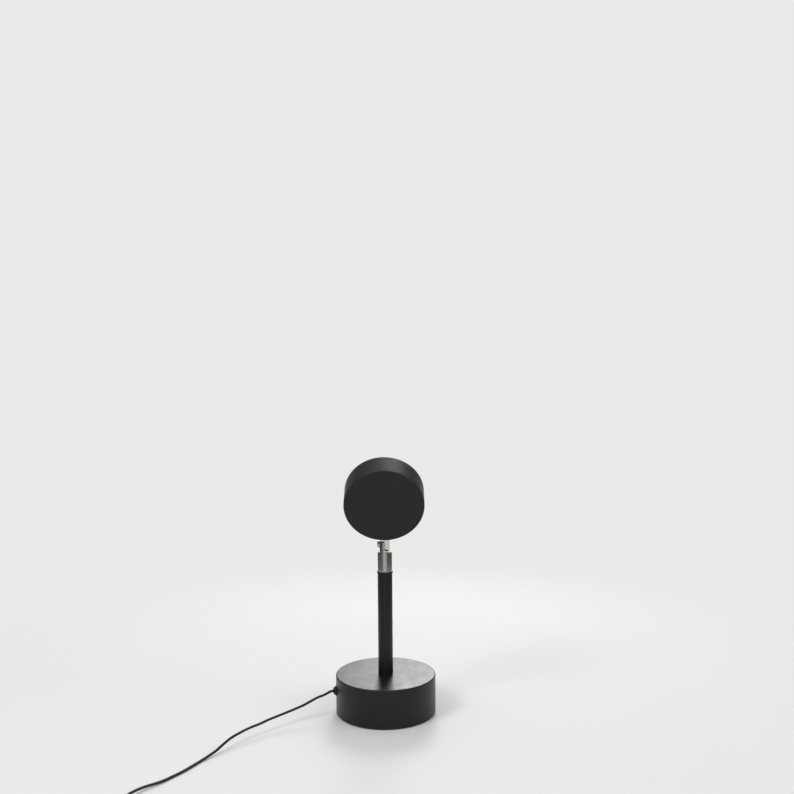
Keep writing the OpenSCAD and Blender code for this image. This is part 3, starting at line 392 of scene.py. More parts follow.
# %% The lamp's finishes
# Each row is a colour, how metallic and how rough it is, and in millimetres how wide its
# patches and its grain are and how deep the grain is.
NICKEL = ((0.62, 0.60, 0.565), 1, 0.15, 6, 0.7, 0.0015)
ROWS = {
    "black_coat": ((0.0085, 0.0083, 0.0087), 0, 0.36, 22, 0.45, 0.008),
    "cord_sheath": ((0.012, 0.0118, 0.012), 0, 0.44, 9, 0.6, 0.006),
    "wire_sheath": ((0.5, 0.025, 0.02), 0, 0.4, 6, 0.5, 0.004),
    "black_rubber": ((0.014, 0.014, 0.014), 0, 0.62, 5, 0.25, 0.008),
    "black_plastic": ((0.014, 0.014, 0.0145), 0, 0.48, 8, 0.3, 0.012),
    "button_plastic": ((0.016, 0.016, 0.0165), 0, 0.3, 5, 0.6, 0.001),
    "white_bearing_plastic": ((0.8, 0.8, 0.78), 0, 0.42, 6, 0.3, 0.003),
    "foam_pad": ((0.03, 0.03, 0.031), 0, 0.93, 3, 0.5, 0.12),
    "amber_glass": ((1.0, 0.56, 0.2), 0, 0.03, 30, 6, 0.001),
    "white_ceramic": ((0.86, 0.85, 0.82), 0, 0.3, 3, 0.2, 0.002),
    "led_phosphor": ((0.93, 0.68, 0.08), 0, 0.42, 0.5, 0.12, 0.02),
    "green_board": ((0.02, 0.17, 0.07), 0, 0.3, 2, 0.4, 0.004),
    "white_board": ((0.84, 0.84, 0.82), 0, 0.3, 5, 0.3, 0.002),
    "bright_nickel": NICKEL,
    "bright_nickel_tilted": NICKEL,
    "bright_reflector": ((0.86, 0.865, 0.87), 1, 0.14, 12, 1.2, 0.002),
    "bare_aluminium": ((0.74, 0.75, 0.76), 1, 0.36, 10, 0.3, 0.003),
    "plated_steel": ((0.6, 0.6, 0.61), 1, 0.32, 5, 0.25, 0.003),
    "plug_steel": ((0.62, 0.62, 0.63), 1, 0.24, 4, 0.3, 0.001),
    "dark_steel": ((0.1, 0.1, 0.105), 1, 0.38, 3, 0.25, 0.003),
    "cast_ballast": ((0.1, 0.1, 0.105), 0.6, 0.7, 9, 0.9, 0.06),
    "brass_thread": ((0.78, 0.58, 0.25), 1, 0.28, 5, 0.3, 0.002),
    "gold_contact": ((0.95, 0.72, 0.32), 1, 0.22, 2, 0.2, 0.001),
}
SOFT, PLATED = {"Specular_IOR_Level": 0.4}, {"swing": 0.03, "tint": 0.03}
EXTRAS = {
    "black_coat": {"swing": 0.05, "tint": 0.15, "Specular_IOR_Level": 0.3},
    "cord_sheath": SOFT, "black_rubber": SOFT, "black_plastic": SOFT, "button_plastic": SOFT,
    "foam_pad": {"tint": 0.25}, "cast_ballast": {"tint": 0.2}, "green_board": {"tint": 0.2},
    "amber_glass": {
        "swing": 0.01, "tint": 0.05, "Transmission_Weight": 1.0, "IOR": 1.52,
        "Coat_Weight": 1.0, "Coat_Roughness": 0.02, "Coat_Tint": (1.0, 0.82, 0.7, 1),
    },
    "led_phosphor": {"tint": 0.12, "Coat_Weight": 0.6, "Coat_Roughness": 0.1},
    "bright_nickel": PLATED, "bright_nickel_tilted": PLATED,
    "bright_reflector": {"swing": 0.04, "tint": 0.02},
    "bare_aluminium": {"stretch": (1, 1, 0.05)}, "plug_steel": {"stretch": (0.15, 1, 1)},
}
FINISHES = {name: finish(name, *row, **EXTRAS.get(name, {})) for name, row in ROWS.items()}
print(len(FINISHES), "finishes")

# %% [markdown]
# ## The cord
# A thin, soft lead of 1.5 m leaves a small gland at the left of the base. It holds itself up for
# a while, comes down to the table, lies in gentle bends, lifts once more and leaves the
# photograph at the bottom left. What the photograph doesn't show is wound into a round coil of
# eleven turns just outside the view, and goes on to the switch and the plug. A tube along a
# smooth curve is the natural way, and its route repeats the frame's, so it lies in the same place.

# %% The route, as in the frame
GLAND_TURN, GLAND_REACH, GLAND_Z = 190.0, 54.0, 25.0
GLAND_WAY = np.array([math.cos(math.radians(GLAND_TURN)), math.sin(math.radians(GLAND_TURN)), 0])
TIP = GLAND_REACH * GLAND_WAY
CORD_WIDE = 2.5
LIE = CORD_WIDE / 2 + 0.05
COIL_AT, COIL_R, COIL_IN, COIL_TURNS = (-154, -227.5), 19.0, 160.0, 11 + 110 / 360
COIL_PITCH, LAYERS, RINGS_PER_TURN = 3.0, 4, 36
RUN_ROUTE = [
    [-9, -4, 22.5], [-17, -6.5, 20], [-30, -14.5, 15.5], [-44, -23.5, 12.5],
    [-60, -38, 11], [-69, -47.5, 10], [-77.5, -56, 9.5], [-85, -66, 9],
    [-92, -76, 8], [-98, -86.5, 6], [-103, -94.5, 3.5], [-109.5, -104.5, 2],
    [-115, -113.5, LIE], [-121, -125, LIE], [-127, -135.5, LIE], [-133, -144, LIE],
    [-138.5, -152, 1.5], [-144, -158.5, 2], [-150, -164.5, 2.5], [-155.5, -171.5, 3],
    [-160, -180, 3.5], [-164, -189.5, 3], [-167.5, -199.5, 2], [-170, -209.5, 1.5],
]
TAIL_ROUTE = [[-143, -247, 9.5], [-133, -246.5, 7], [-123, -245.5, 4.5], [-113, -244.5, 3.5]]
LEAD_ROUTE = [
    [-35, -245, 3.5], [-28.5, -251, 2], [-27, -258, 1.5], [-30.5, -265, 2], [-37, -269, 3],
]
SWITCH_AT, SWITCH_LONG, SWITCH_MID, CORD_HOLD = (-73, -243.5), 46.0, 4.8, 5.0
PLUG_AT, PLUG_Z = (-46, -269.5), 4.0


def smooth_path(points, steps=6):
    """The curve through the points: between b and c, with neighbours a and d, the point a share
    s of the way is half of 2b + (c - a)s + (2a - 5b + 4c - d)s^2 + (3b - a - 3c + d)s^3."""
    p = np.asarray(points, float)
    a, b, c, d = p[np.r_[0, 0 : len(p) - 2]], p[:-1], p[1:], p[np.r_[2 : len(p), len(p) - 1]]
    s = (np.arange(steps) / steps)[None, :, None]
    a, b, c, d = (q[:, None, :] for q in (a, b, c, d))
    curve = 2 * b + (c - a) * s + (2 * a - 5 * b + 4 * c - d) * s**2
    curve = (curve + (3 * b - a - 3 * c + d) * s**3) / 2
    return np.concatenate([curve.reshape(-1, 3), p[-1:]])


def coil_points():
    """The coil's points. Its radius falls and rises by the pitch each turn, turning back at the
    end of each layer, and its height climbs one pitch per layer by half a cosine."""
    layer_turns = COIL_TURNS / LAYERS
    u = np.linspace(0, COIL_TURNS, math.ceil(RINGS_PER_TURN * COIL_TURNS) + 1)
    layer = np.minimum(np.floor(u / layer_turns), LAYERS - 1)
    along = u - layer * layer_turns
    inward = np.where(layer % 2 == 0, along, layer_turns - along)
    r = COIL_R - COIL_PITCH * inward
    turn = np.radians(COIL_IN + 360 * u)
    climb = np.clip((u[:, None] - np.arange(1, LAYERS) * layer_turns) * 2 + 0.5, 0, 1)
    rise = ((1 - np.cos(np.pi * climb)) / 2).sum(1)
    x, y = COIL_AT[0] + r * np.cos(turn), COIL_AT[1] + r * np.sin(turn)
    return np.stack([x, y, LIE + COIL_PITCH * rise], 1)


def level_way(step):
    """The unit direction of a step, made level."""
    way = step * (1, 1, 0)
    return way / np.linalg.norm(way)


coil = coil_points()
way_in, way_out = level_way(coil[1] - coil[0]), level_way(coil[-1] - coil[-2])
coil_in, coil_out = coil[0] - CORD_WIDE * way_in, coil[-1] + CORD_WIDE * way_out
gland_mouth = np.array([0, 0, GLAND_Z])
run = smooth_path(
    [CORD_WIDE * GLAND_WAY + gland_mouth, *RUN_ROUTE, coil_in - CORD_WIDE * way_in]
)
switch_in = np.array([SWITCH_AT[0] - SWITCH_LONG / 2, SWITCH_AT[1], SWITCH_MID])
switch_out = switch_in + (SWITCH_LONG, 0, 0)
tail = smooth_path(
    [coil_out + CORD_WIDE * way_out, *TAIL_ROUTE, switch_in - (3 * CORD_WIDE, 0, 0),
     switch_in - (CORD_WIDE, 0, 0)]
)
plug_in = np.array([*PLUG_AT, PLUG_Z])
lead = smooth_path(
    [switch_out + (CORD_WIDE, 0, 0), switch_out + (3 * CORD_WIDE, 0, 0), *LEAD_ROUTE,
     plug_in + (CORD_WIDE, 0, 0)]
)
main_path = np.concatenate(
    [[gland_mouth], run, [coil_in], coil, [coil_out], tail, [switch_in + (CORD_HOLD, 0, 0)]]
)
lead_path = np.concatenate([[switch_out - (CORD_HOLD, 0, 0)], lead, [plug_in]])
main_path, lead_path = (main_path + TIP) * MM, (lead_path + TIP) * MM


def path_length(path):
    """The sum of the distances from each point to the next."""
    return float(np.linalg.norm(np.diff(path, axis=0), axis=1).sum())


print(f"cord to the switch: {path_length(main_path):.4f} m")
print(f"cord to the plug: {path_length(lead_path):.4f} m")

# %% The cord's tubes


def capped(rings, ends):
    """Rings of points, closed before the first and after the last by a ring squashed to a
    point."""
    first, last = (np.repeat(end[None, None], rings.shape[1], 1) for end in ends)
    return closed_shell((np.concatenate([first, rings, last]), False, True))


def tube(path, radius, sides=14):
    """Rings of points round a path: with t its direction and u level and square to t, the
    ring's point at an angle k is p + radius (cos(k) u + sin(k) (t x u))."""
    t = np.gradient(path, axis=0)
    t /= np.linalg.norm(t, axis=1)[:, None]
    u = np.cross([0, 0, 1.0], t)
    u /= np.linalg.norm(u, axis=1)[:, None]
    w = np.cross(t, u)
    k = np.linspace(0, 2 * np.pi, sides, endpoint=False)[None, :, None]
    rings = path[:, None] + radius * (np.cos(k) * u[:, None] + np.sin(k) * w[:, None])
    return capped(rings, path[[0, -1]])


power_cord = make_piece(
    "power_cord", [tube(main_path, CORD_WIDE / 2 * MM)], "cord_sheath", "stand",
    ["cord_run", "cord_coil", "cord_tail"],
)
plug_cord = make_piece(
    "plug_cord", [tube(lead_path, CORD_WIDE / 2 * MM)], "cord_sheath", "stand", ["plug_lead"]
)

# %% [markdown]
# ## The base
# The base is a heavy drum of coated metal, 102 mm wide and 40 mm high, with a 1 mm round along
# its top edge. A turned profile gives it, as the lathe gave the real one. Its coat is a fine
# satin black powder: dark, softly reflecting, with a faint grain. It reads as black and still
# shows the light that slides over its top.

# %% The coat and the base shell
BASE_R, BASE_H, BASE_INNER_R, BASE_ROOF, BASE_FOOT = 51.0, 40.0, 48.5, 37, 1
NIPPLE_HOLE_R = 5.05
RUBBED_COAT, RUBBED_SHARE = (0.05, 0.048, 0.045), 0.5
add_worn_edges(FINISHES["black_coat"], RUBBED_COAT, RUBBED_SHARE)
base = turned(
    [
        [BASE_INNER_R, BASE_FOOT], [BASE_R, BASE_FOOT], [BASE_R, BASE_H],
        [NIPPLE_HOLE_R, BASE_H], [NIPPLE_HOLE_R, BASE_ROOF], [BASE_INNER_R, BASE_ROOF],
    ],
    [0.3, 0.5, 1.0, 0.1, 0.3, 1.0], 240, closed=True,
)
make_piece("base_drum", [base], "black_coat", "stand", ["base_shell"])

# %% [markdown]
# ## The cable gland
# The cord leaves through a small rubber gland. On the real lamp it is a moulded cone with a
# flange against the base and a few rings that let it bend. It is turned too, round an axis
# that points out of the base's side, so the profile is spun upright and then laid over.

# %% The gland
GLAND_LIES = about("Z", GLAND_TURN) @ about("Y", 90)
gland = turned(
    [
        [1.3, 46.5], [5.5, 46.5], [5.5, 48.3], [4.0, 48.3], [4.0, 50.5], [5.45, 50.5],
        [5.45, 51.5], [4.5, 51.7], [4.15, 51.95], [4.35, 52.2], [4.0, 52.65], [3.7, 52.8],
        [3.85, 53.05], [3.5, 53.45], [3.2, 53.6], [3.3, 53.8], [3.0, 54.0], [1.3, 54.0],
    ],
    [0.1, 0.3, 0.3, 0.1, 0.1, 0.1, 0.3, 0.12, 0.1, 0.12, 0.12, 0.1, 0.12, 0.12, 0.08, 0.08,
     0.1, 0.1],
    72, closed=True,
)
make_piece(
    "cord_gland", [moved(gland, GLAND_LIES, (0, 0, GLAND_Z * MM))], "black_rubber", "stand",
    ["cable_gland"],
)

# %% [markdown]
# ## The pole and its collar
# The pole is a 15 mm tube in the same coat, and a collar a little wider sits on its top. Their
# ends have small rounds, which show as fine bright lines.

# %% The pole and the collar
POLE_R, POLE_TOP, COLLAR_R, COLLAR_TOP = 7.5, 144.0, 8, 146.4


def sleeve(radius, bottom, top, edge):
    """A tube round the threaded rod in the pole, its outer edges rounded."""
    corners = [[NIPPLE_HOLE_R, bottom], [radius, bottom], [radius, top], [NIPPLE_HOLE_R, top]]
    return turned(corners, [0.1, edge, edge, 0.1], 96, closed=True)


pole = sleeve(POLE_R, BASE_H, POLE_TOP, 0.25)
collar = sleeve(COLLAR_R, POLE_TOP, COLLAR_TOP, 0.4)
make_piece("pole_coated", [pole], "black_coat", "stand", ["pole_tube"])
make_piece("collar_coated", [collar], "black_coat", "stand", ["pole_collar"])

# %% [markdown]
# ## The knuckle
# The knuckle is the only bright part in the photograph: two nickel-plated halves milled from
# round bar, each with a flat ear, held by one screw. Its flats, channel and bores come from
# cuts, which a single grid can't follow. The frame already has them exactly, so its mesh is
# copied, welded, and given the small rounds that plating leaves on every edge. Those rounds
# draw the bright lines by which the joint is seen.

# %% Rounded copies of milled parts
COPY_WELD, FLAT_ANGLE, EDGE_ANGLE = 2e-6, 0.5, 25
slot_of = {row["node"]: row["material_slot"] for row in frame["record"]["subparts"]}


def welded_copy(name, node, look, join_flats=False):
    """A piece with a copy of a CAD node's mesh, welded, its flat facets joined where asked. It
    takes the node's place."""
    work = bmesh.new()
    work.from_mesh(frame["nodes"][node].data)
    bmesh.ops.remove_doubles(work, verts=work.verts, dist=COPY_WELD)
    if join_flats:
        bmesh.ops.dissolve_limit(
            work, angle_limit=math.radians(FLAT_ANGLE), verts=work.verts, edges=work.edges
        )
    mesh = bpy.data.meshes.new(name)
    work.to_mesh(mesh)
    work.free()
    smooth_in(mesh, FINISHES[look])
    piece = in_scene(name, mesh)
    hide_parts(node)
    print(f"{name}: {len(mesh.polygons)} faces copied")
    return piece


def round_edges(piece, width_mm, degrees, segments):
    """Rounds every edge that turns by more than an angle."""
    rounds = piece.modifiers.new("rounded edges", "BEVEL")
    rounds.limit_method = "ANGLE"
    rounds.angle_limit = math.radians(degrees)
    rounds.width = width_mm * MM
    rounds.segments = segments


def soft_edged(name, node, width_mm, look, body):
    """A welded copy with its edges rounded over width_mm and its flats shaded flat."""
    piece = welded_copy(name, node, look, join_flats=True)
    round_edges(piece, width_mm, EDGE_ANGLE, 3)
    flats = piece.modifiers.new("flats stay flat", "WEIGHTED_NORMAL")
    flats.keep_sharp = False
    flats.weight = 80
    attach(piece, body)


HEAD_TILT, HINGE_Z = 22.0, 173.95
# The finest turning marks lie square to the length of each half.
MARK_PITCH, MARK_DEPTH = 0.35, 0.0003
add_ridges(FINISHES["bright_nickel"], MARK_PITCH, MARK_DEPTH)
add_ridges(FINISHES["bright_nickel_tilted"], MARK_PITCH, MARK_DEPTH, -HEAD_TILT)
soft_edged("knuckle_below", "knuckle_lower", 0.22, "bright_nickel", "swivel")
soft_edged("knuckle_above", "knuckle_upper", 0.22, "bright_nickel_tilted", "head")
soft_edged("pivot_screw", "hinge_screw", 0.12, "bright_nickel", "swivel")
print("the knuckle's hinge is at", HINGE_Z, "mm")

# %% [markdown]
# ## The head's drum
# The head is a shallow drum, 80 mm wide and 28 mm deep, tipped up by 22 degrees. From behind,
# the photograph shows its flat back and, above it, a crescent of its side. It is spun like the
# base, then laid over so that its axis points forward, and tilted with the knuckle.

# %% The drum
HEAD_ARM, HEAD_R, HEAD_INNER_R, DRUM_HALF, DRUM_WALL = 53.5, 40.0, 38.0, 14.0, 2.0
TILT = about("X", HEAD_TILT)
DRUM_LIES = TILT @ about("X", -90)
DRUM_MIDDLE = np.array([0, 0, HINGE_Z * MM]) + TILT @ [0, 0, HEAD_ARM * MM]


def in_drum(shell):
    """A shell spun round Z, moved so that Z runs along the drum's axis to its front."""
    return moved(shell, DRUM_LIES, DRUM_MIDDLE)


drum = turned(
    [[0, DRUM_WALL - DRUM_HALF], [HEAD_INNER_R, DRUM_WALL - DRUM_HALF],
     [HEAD_INNER_R, DRUM_HALF], [HEAD_R, DRUM_HALF], [HEAD_R, -DRUM_HALF], [0, -DRUM_HALF]],
    [0, 0.8, 0.35, 0.5, 0.8, 0], 240,
)
make_piece("head_drum", [in_drum(drum)], "black_coat", "head", ["head_shell"])

# %% [markdown]
# ## The lens and its ring
# The light comes out through a thick lens, flat behind and domed in front, whose amber coating
# colours the disc on the wall. The dome is part of a sphere, so its profile is an arc, and the
# glass is a closed solid, because light has to bend on its way in and on its way out. A black
# ring, turned to a slope, holds it in the drum.

# %% The lens and the ring
LENS_R, LENS_RISE, LENS_BACK, LENS_STEP, RING_FRONT = 32.0, 5.7, 5.8, 8.3, 13.4
RING_LIP_R, RING_MOUTH_R, PLAY = 30.0, 33.5, 0.05
BALL_R = (LENS_R**2 + LENS_RISE**2) / (2 * LENS_RISE)


def dome_height(r):
    """The dome's height at a radius: that of a ball of radius BALL_R, less the ball's depth."""
    return LENS_STEP + np.sqrt(BALL_R**2 - r**2) - BALL_R + LENS_RISE


dome_r = np.linspace(LENS_R, 0, 48)
dome = np.stack([dome_r, dome_height(dome_r)], 1)
lens_edge = rounded(
    [[0, LENS_BACK], [LENS_R, LENS_BACK], [LENS_R, LENS_STEP], dome[2]], [0, 0.3, 0.4, 0]
)
lens = lathe(np.concatenate([lens_edge[:-1], dome[2:]]), 200)
make_piece("lens_glass", [in_drum(lens)], "amber_glass", "head", ["lens"])
ring = turned(
    [[RING_LIP_R, dome_height(RING_LIP_R) + PLAY], [LENS_R, LENS_STEP + PLAY],
     [LENS_R + 0.2, LENS_STEP], [HEAD_INNER_R - PLAY, LENS_STEP],
     [HEAD_INNER_R - PLAY, RING_FRONT], [RING_MOUTH_R, RING_FRONT]],
    [0.15, 0.05, 0.05, 0.1, 0.3, 0.6], 200, closed=True,
)
make_piece("lens_ring", [in_drum(ring)], "black_coat", "head", ["front_ring"])

# %% [markdown]
# ## The reflector and the light source
# Behind the glass, a bright moulded cone gathers the light of one small chip. Such reflectors
# are dimpled, so that the beam is even: the cone's surface is pushed in by a product of two
# waves, one round it and one along it. The chip is a yellow disc of phosphor inside a pale
# dam, on a square of white ceramic, with two soldered pads beside it.

# %% The reflector
EYE_R, MOUTH_R, BOARD_FRONT, LENS_SEAT = 6.5, 29.5, -5.9, 5.0
FLANGE_R, FLANGE_BACK, CONE_BACK_R = 34, LENS_SEAT - 1.2, (29.7, 9.3)
DIMPLES_ROUND, DIMPLES_ALONG, DIMPLE_MM = 48, 8, 0.16


def dimpled_cone(segments=288, rows=97):
    """A cone whose wall is pushed back by DIMPLE_MM times sin^2 (8 bands along) times sin^2 (48
    round, every other band shifted by half a dimple), plus its flange and its back."""
    wide, deep = MOUTH_R - EYE_R, LENS_SEAT - BOARD_FRONT
    s = np.linspace(0, 1, rows)
    turn = np.linspace(0, 2 * np.pi, segments, endpoint=False)
    shift = (np.floor(s * DIMPLES_ALONG * 0.999) % 2) * np.pi / 2
    hollow = np.sin(np.pi * DIMPLES_ALONG * s)[:, None] ** 2
    hollow = hollow * np.sin(DIMPLES_ROUND / 2 * turn[None, :] + shift[:, None]) ** 2
    push, slope = DIMPLE_MM * hollow, np.hypot(wide, deep)
    r = (EYE_R + wide * s)[:, None] + push * deep / slope
    h = (BOARD_FRONT + deep * s)[:, None] - push * wide / slope
    back = rounded(
        [[MOUTH_R, LENS_SEAT], [FLANGE_R, LENS_SEAT], [FLANGE_R, FLANGE_BACK],
         [CONE_BACK_R[0], FLANGE_BACK], [CONE_BACK_R[1], BOARD_FRONT], [EYE_R, BOARD_FRONT]],
        [0, 0.1, 0.1, 0.3, 0.1, 0],
    )
    sheets = spun(r, h, turn), spun(back[:, :1], back[:, 1:], turn)
    return closed_shell(*((sheet * MM, False, True) for sheet in sheets))


make_piece(
    "dimpled_reflector", [in_drum(dimpled_cone())], "bright_reflector", "head", ["reflector"]
)

# %% Blocks with round corners


def round_outline(length, width, radius, steps=6):
    """Points round a rectangle with round corners, and the way out at each: a corner's centre
    plus the radius times the way out, which turns evenly in each corner. Beside each corner
    lies one more point, a little way along the straight side, so that the side stays flat
    when shaded smooth."""
    turn = np.radians(90 * np.arange(4)[:, None] + np.linspace(0, 90, steps + 1)[None, :])
    turn = np.concatenate([turn[:, :1], turn, turn[:, -1:]], 1)
    way = np.stack([np.cos(turn), np.sin(turn)], -1)
    slide = np.zeros(turn.shape)
    short, long = np.minimum(0.5 * radius, 0.3 * (np.array([width, length]) - 2 * radius))
    slide[:, 0], slide[:, -1] = [-short, -long] * 2, [long, short] * 2
    tangent = np.stack([-np.sin(turn), np.cos(turn)], -1)
    signs = np.array([[1, 1], [-1, 1], [-1, -1], [1, -1]])
    centres = signs * (np.array([length, width]) / 2 - radius)
    points = centres[:, None] + radius * way + slide[..., None] * tangent
    return points.reshape(-1, 2), way.reshape(-1, 2)


def insets_grid(outline, way, insets, heights):
    """Rings of the outline: each is the outline moved in by an inset along the way out, at a
    height."""
    flat = outline[None] - insets * way[None]
    return np.concatenate([flat, np.asarray(heights)[:, None, None] + 0 * flat[..., :1]], -1)


def carried(outline, way, insets, heights):
    """A profile carried round an outline, closed at both ends by rings that shrink to the
    middle."""
    grid = insets_grid(outline, way, insets[:, None, None], heights)
    middle = grid.mean(1, keepdims=True)
    inner = [middle[[i]] + 0.6 * (grid[[i]] - middle[[i]]) for i in (0, -1)]
    grid = np.concatenate([inner[0], grid, inner[1]])
    return capped(grid * MM, middle[[0, -1], 0] * MM)


def block(length, width, height, corner, edge, steps=4):
    """A block with round corners seen from above and smaller rounds above and below."""
    t = np.radians(np.linspace(0, 90, steps + 1))
    insets = np.concatenate([edge * (1 - np.sin(t)), [0, 0], edge * (1 - np.cos(t))])
    heights = np.concatenate(
        [edge * (1 - np.cos(t)), [1.4 * edge, height - 1.4 * edge],
         height - edge * (1 - np.sin(t))]
    )
    return carried(*round_outline(length, width, corner), insets, heights)


print("a block's outline has", len(round_outline(2, 1, 0.2)[0]), "points")

# %% The light-emitting chip
CHIP_WIDE, CHIP_T, PHOSPHOR_R, DAM_WIDE, DAM_FOOT = 7.0, 0.8, 2.9, 0.5, 0.35
CERAMIC_T, PAD_X = 0.4, 4.6


def on_board(shell, x=0):
    """A shell set on the front of the round board, at a distance from its middle."""
    return in_drum(moved(shell, to=(x * MM, 0, BOARD_FRONT * MM)))


ceramic = block(CHIP_WIDE, CHIP_WIDE, CERAMIC_T, 0.3, 0.06)
dam = turned(
    [[PHOSPHOR_R - DAM_WIDE, DAM_FOOT], [PHOSPHOR_R, DAM_FOOT], [PHOSPHOR_R, CHIP_T],
     [PHOSPHOR_R - DAM_WIDE, CHIP_T]],
    [0.05, 0.05, 0.18, 0.18], 72, closed=True,
)
phosphor = turned(
    [[0, DAM_FOOT], [PHOSPHOR_R - 0.4, DAM_FOOT], [PHOSPHOR_R - 0.4, 0.6], [0, 0.68]],
    [0, 0.05, 0.1, 0], 72,
)
pad = turned([[0, 0], [0.75, 0], [0.55, 0.22], [0, 0.3]], [0, 0.05, 0.15, 0], 32)
make_piece(
    "chip_carrier", [on_board(ceramic), on_board(dam)], "white_ceramic", "head",
    ["led_chip"],
)
make_piece("chip_phosphor", [on_board(phosphor)], "led_phosphor", "head")
make_piece(
    "solder_pads", [on_board(pad, -PAD_X), on_board(pad, PAD_X)], "gold_contact", "head"
)

# %% [markdown]
# ## The in-line switch
# The switch is a small rounded box of fine-textured plastic in two halves, with a round push
# button. Its skin is a profile carried round an outline: the same few lines make its base, its
# cover and, with a hole for the button, its top. Three low ribs near each end are where the
# fingers hold it.

# %% The switch
SWITCH_WIDE, SWITCH_H, SWITCH_EDGE, PARTING = 14.0, 9.6, 2, 0.12
BUTTON_R, BUTTON_HOLE_R = 4.4, 4.55
SWITCH_PLACE = (TIP + (*SWITCH_AT, 0)) * MM


def switch_half(upper):
    """Half of the switch's casing: a quarter round, a straight wall and, at the parting line,
    a step back of 0.12 mm. The cover's top runs in to the button's hole, down its wall, and
    closes on a floor below, which the pressed button doesn't reach."""
    outline, way = round_outline(SWITCH_LONG, SWITCH_WIDE, 5.0, 10)
    t = np.radians(np.linspace(0, 90, 9))
    rise, fall = SWITCH_EDGE * (1 - np.cos(t)), SWITCH_EDGE * (1 - np.sin(t))
    if not upper:
        insets = np.concatenate([fall, [0, 0, PARTING, PARTING]])
        return carried(outline, way, insets, np.concatenate([rise, [2.6, 4.55, 4.62, 4.78]]))
    insets = np.concatenate([[PARTING, PARTING, 0, 0], rise])
    heights = np.concatenate([[SWITCH_MID, 4.86, 4.95, 6.8], SWITCH_H - fall])
    skin = insets_grid(outline, way, insets[:, None, None], heights)
    round_way = outline / np.linalg.norm(outline, axis=1)[:, None]
    rings = [(BUTTON_HOLE_R + 0.5, SWITCH_H), (BUTTON_HOLE_R + 0.3, SWITCH_H),
             (BUTTON_HOLE_R + 0.09, SWITCH_H - 0.09), (BUTTON_HOLE_R, SWITCH_H - 0.3),
             (BUTTON_HOLE_R, SWITCH_H - 2.5), (0, SWITCH_H - 2.55)]
    hole = [np.c_[r * round_way, np.full(len(outline), h)] for r, h in rings]
    floor = np.repeat([[[0, 0, SWITCH_MID]]], len(outline), 1)
    return closed_shell((np.concatenate([floor, skin, hole]) * MM, False, True))


def switch_rib(x):
    """A low rounded bar across the cover."""
    return moved(block(1.0, 8.0, 0.9, 0.48, 0.2), to=(x * MM, 0, (SWITCH_H - 0.55) * MM))


def in_switch(*shells):
    """Shells moved to the switch's place."""
    return [moved(shell, to=SWITCH_PLACE) for shell in shells]


ribs = [switch_rib(side * (11.5 + 2.2 * k)) for side in (-1, 1) for k in range(3)]
switch_low = make_piece(
    "switch_half_below", in_switch(switch_half(False)), "black_plastic", "stand",
    ["switch_base"],
)
switch_high = make_piece(
    "switch_half_above", in_switch(switch_half(True), *ribs), "black_plastic", "stand",
    ["switch_cover"],
)
cap = turned(
    [[0, 8.5], [BUTTON_R, 8.5], [BUTTON_R, 11.1], [BUTTON_R - 1.1, 11.1], [0, 10.8]],
    [0, 0.1, 0.5, 0.3, 0], 96,
)
button = make_piece(
    "push_button", in_switch(cap), "button_plastic", "button", ["switch_button"]
)

# %% [markdown]
# ## The USB plug
# The plug's grip is moulded over the lead: a block with finger ribs on its narrow sides and a
# tapered relief whose rings let the lead bend. The shell is a folded sheet of plated steel
# with two windows on each face and a seam below. It is drawn as a sheet with the windows'
# faces left out, and Solidify gives it the thickness of the sheet.

# %% The plug's grip and relief
RELIEF_LONG, GRIP_LONG, GRIP_WIDE, GRIP_H, GRIP_EDGE = 10.0, 34.0, 15.6, 8.0, 1.2
GRIP_RIBS, RIB_MM, RELIEF_PITCH = 8, 0.4, 2.0
PLUG_PLACE = (TIP + (*PLUG_AT, PLUG_Z)) * MM
X_ALONG = np.array([[0, 0, 1], [1, 0, 0], [0, 1, 0]])


def in_plug(shell):
    """A shell drawn along Z, laid along the plug, whose tip points to -X."""
    return moved(moved(shell, X_ALONG), to=PLUG_PLACE, mirror_x=True)


def plug_grip():
    """The outline carried along the grip. The inset is a quarter round at both ends and, on
    the narrow sides between, eight hollows of half a cosine, 0.4 mm deep."""
    x0, x1 = RELIEF_LONG, RELIEF_LONG + GRIP_LONG
    t = np.radians(np.linspace(0, 90, 6))
    rise, fall = GRIP_EDGE * (1 - np.cos(t)), GRIP_EDGE * (1 - np.sin(t))
    x = np.concatenate([x0 + rise, np.linspace(x0 + 1.7, x1 - 1.7, 140), x1 - fall])
    end = np.concatenate([fall, np.zeros(140), rise])
    first, last = x0 + 6, x1 - 8
    inside = (x > first) & (x < last)
    wave = 1 - np.cos(2 * np.pi * GRIP_RIBS * (x - first) / (last - first))
    outline, way = round_outline(GRIP_WIDE, GRIP_H, 2.4, 8)
    side = np.abs(way[:, 0]) ** 3
    inset = end[:, None] + (RIB_MM / 2 * wave * inside)[:, None] * side[None, :]
    grid = insets_grid(outline, way, inset[..., None], x)
    return capped(grid * MM, grid.mean(1)[[0, -1]] * MM)


relief_x = np.linspace(0, RELIEF_LONG + 0.5, 90)
relief_r = 1.85 + 1.35 * relief_x / RELIEF_LONG
relief_r -= 0.35 * np.clip(np.sin(2 * np.pi * relief_x / RELIEF_PITCH), 0, 1) * (relief_x > 1)
relief_profile = np.concatenate([[[0, 0]], np.c_[relief_r, relief_x], [[0, relief_x[-1]]]])
grip = make_piece(
    "plug_moulding", [in_plug(plug_grip()), in_plug(lathe(relief_profile, 48))],
    "black_plastic", "stand", ["plug_grip"],
)

# %% The plug's shell
SHELL_WIDE, SHELL_H, SHEET_T, FOLD_R, SLIT = 12.0, 4.5, 0.3, 0.55, 0.1
WINDOW_Y, WINDOW_HALF, WINDOW_X, WINDOW_LONG = 2.9, 1.25, 49.0, 2.0


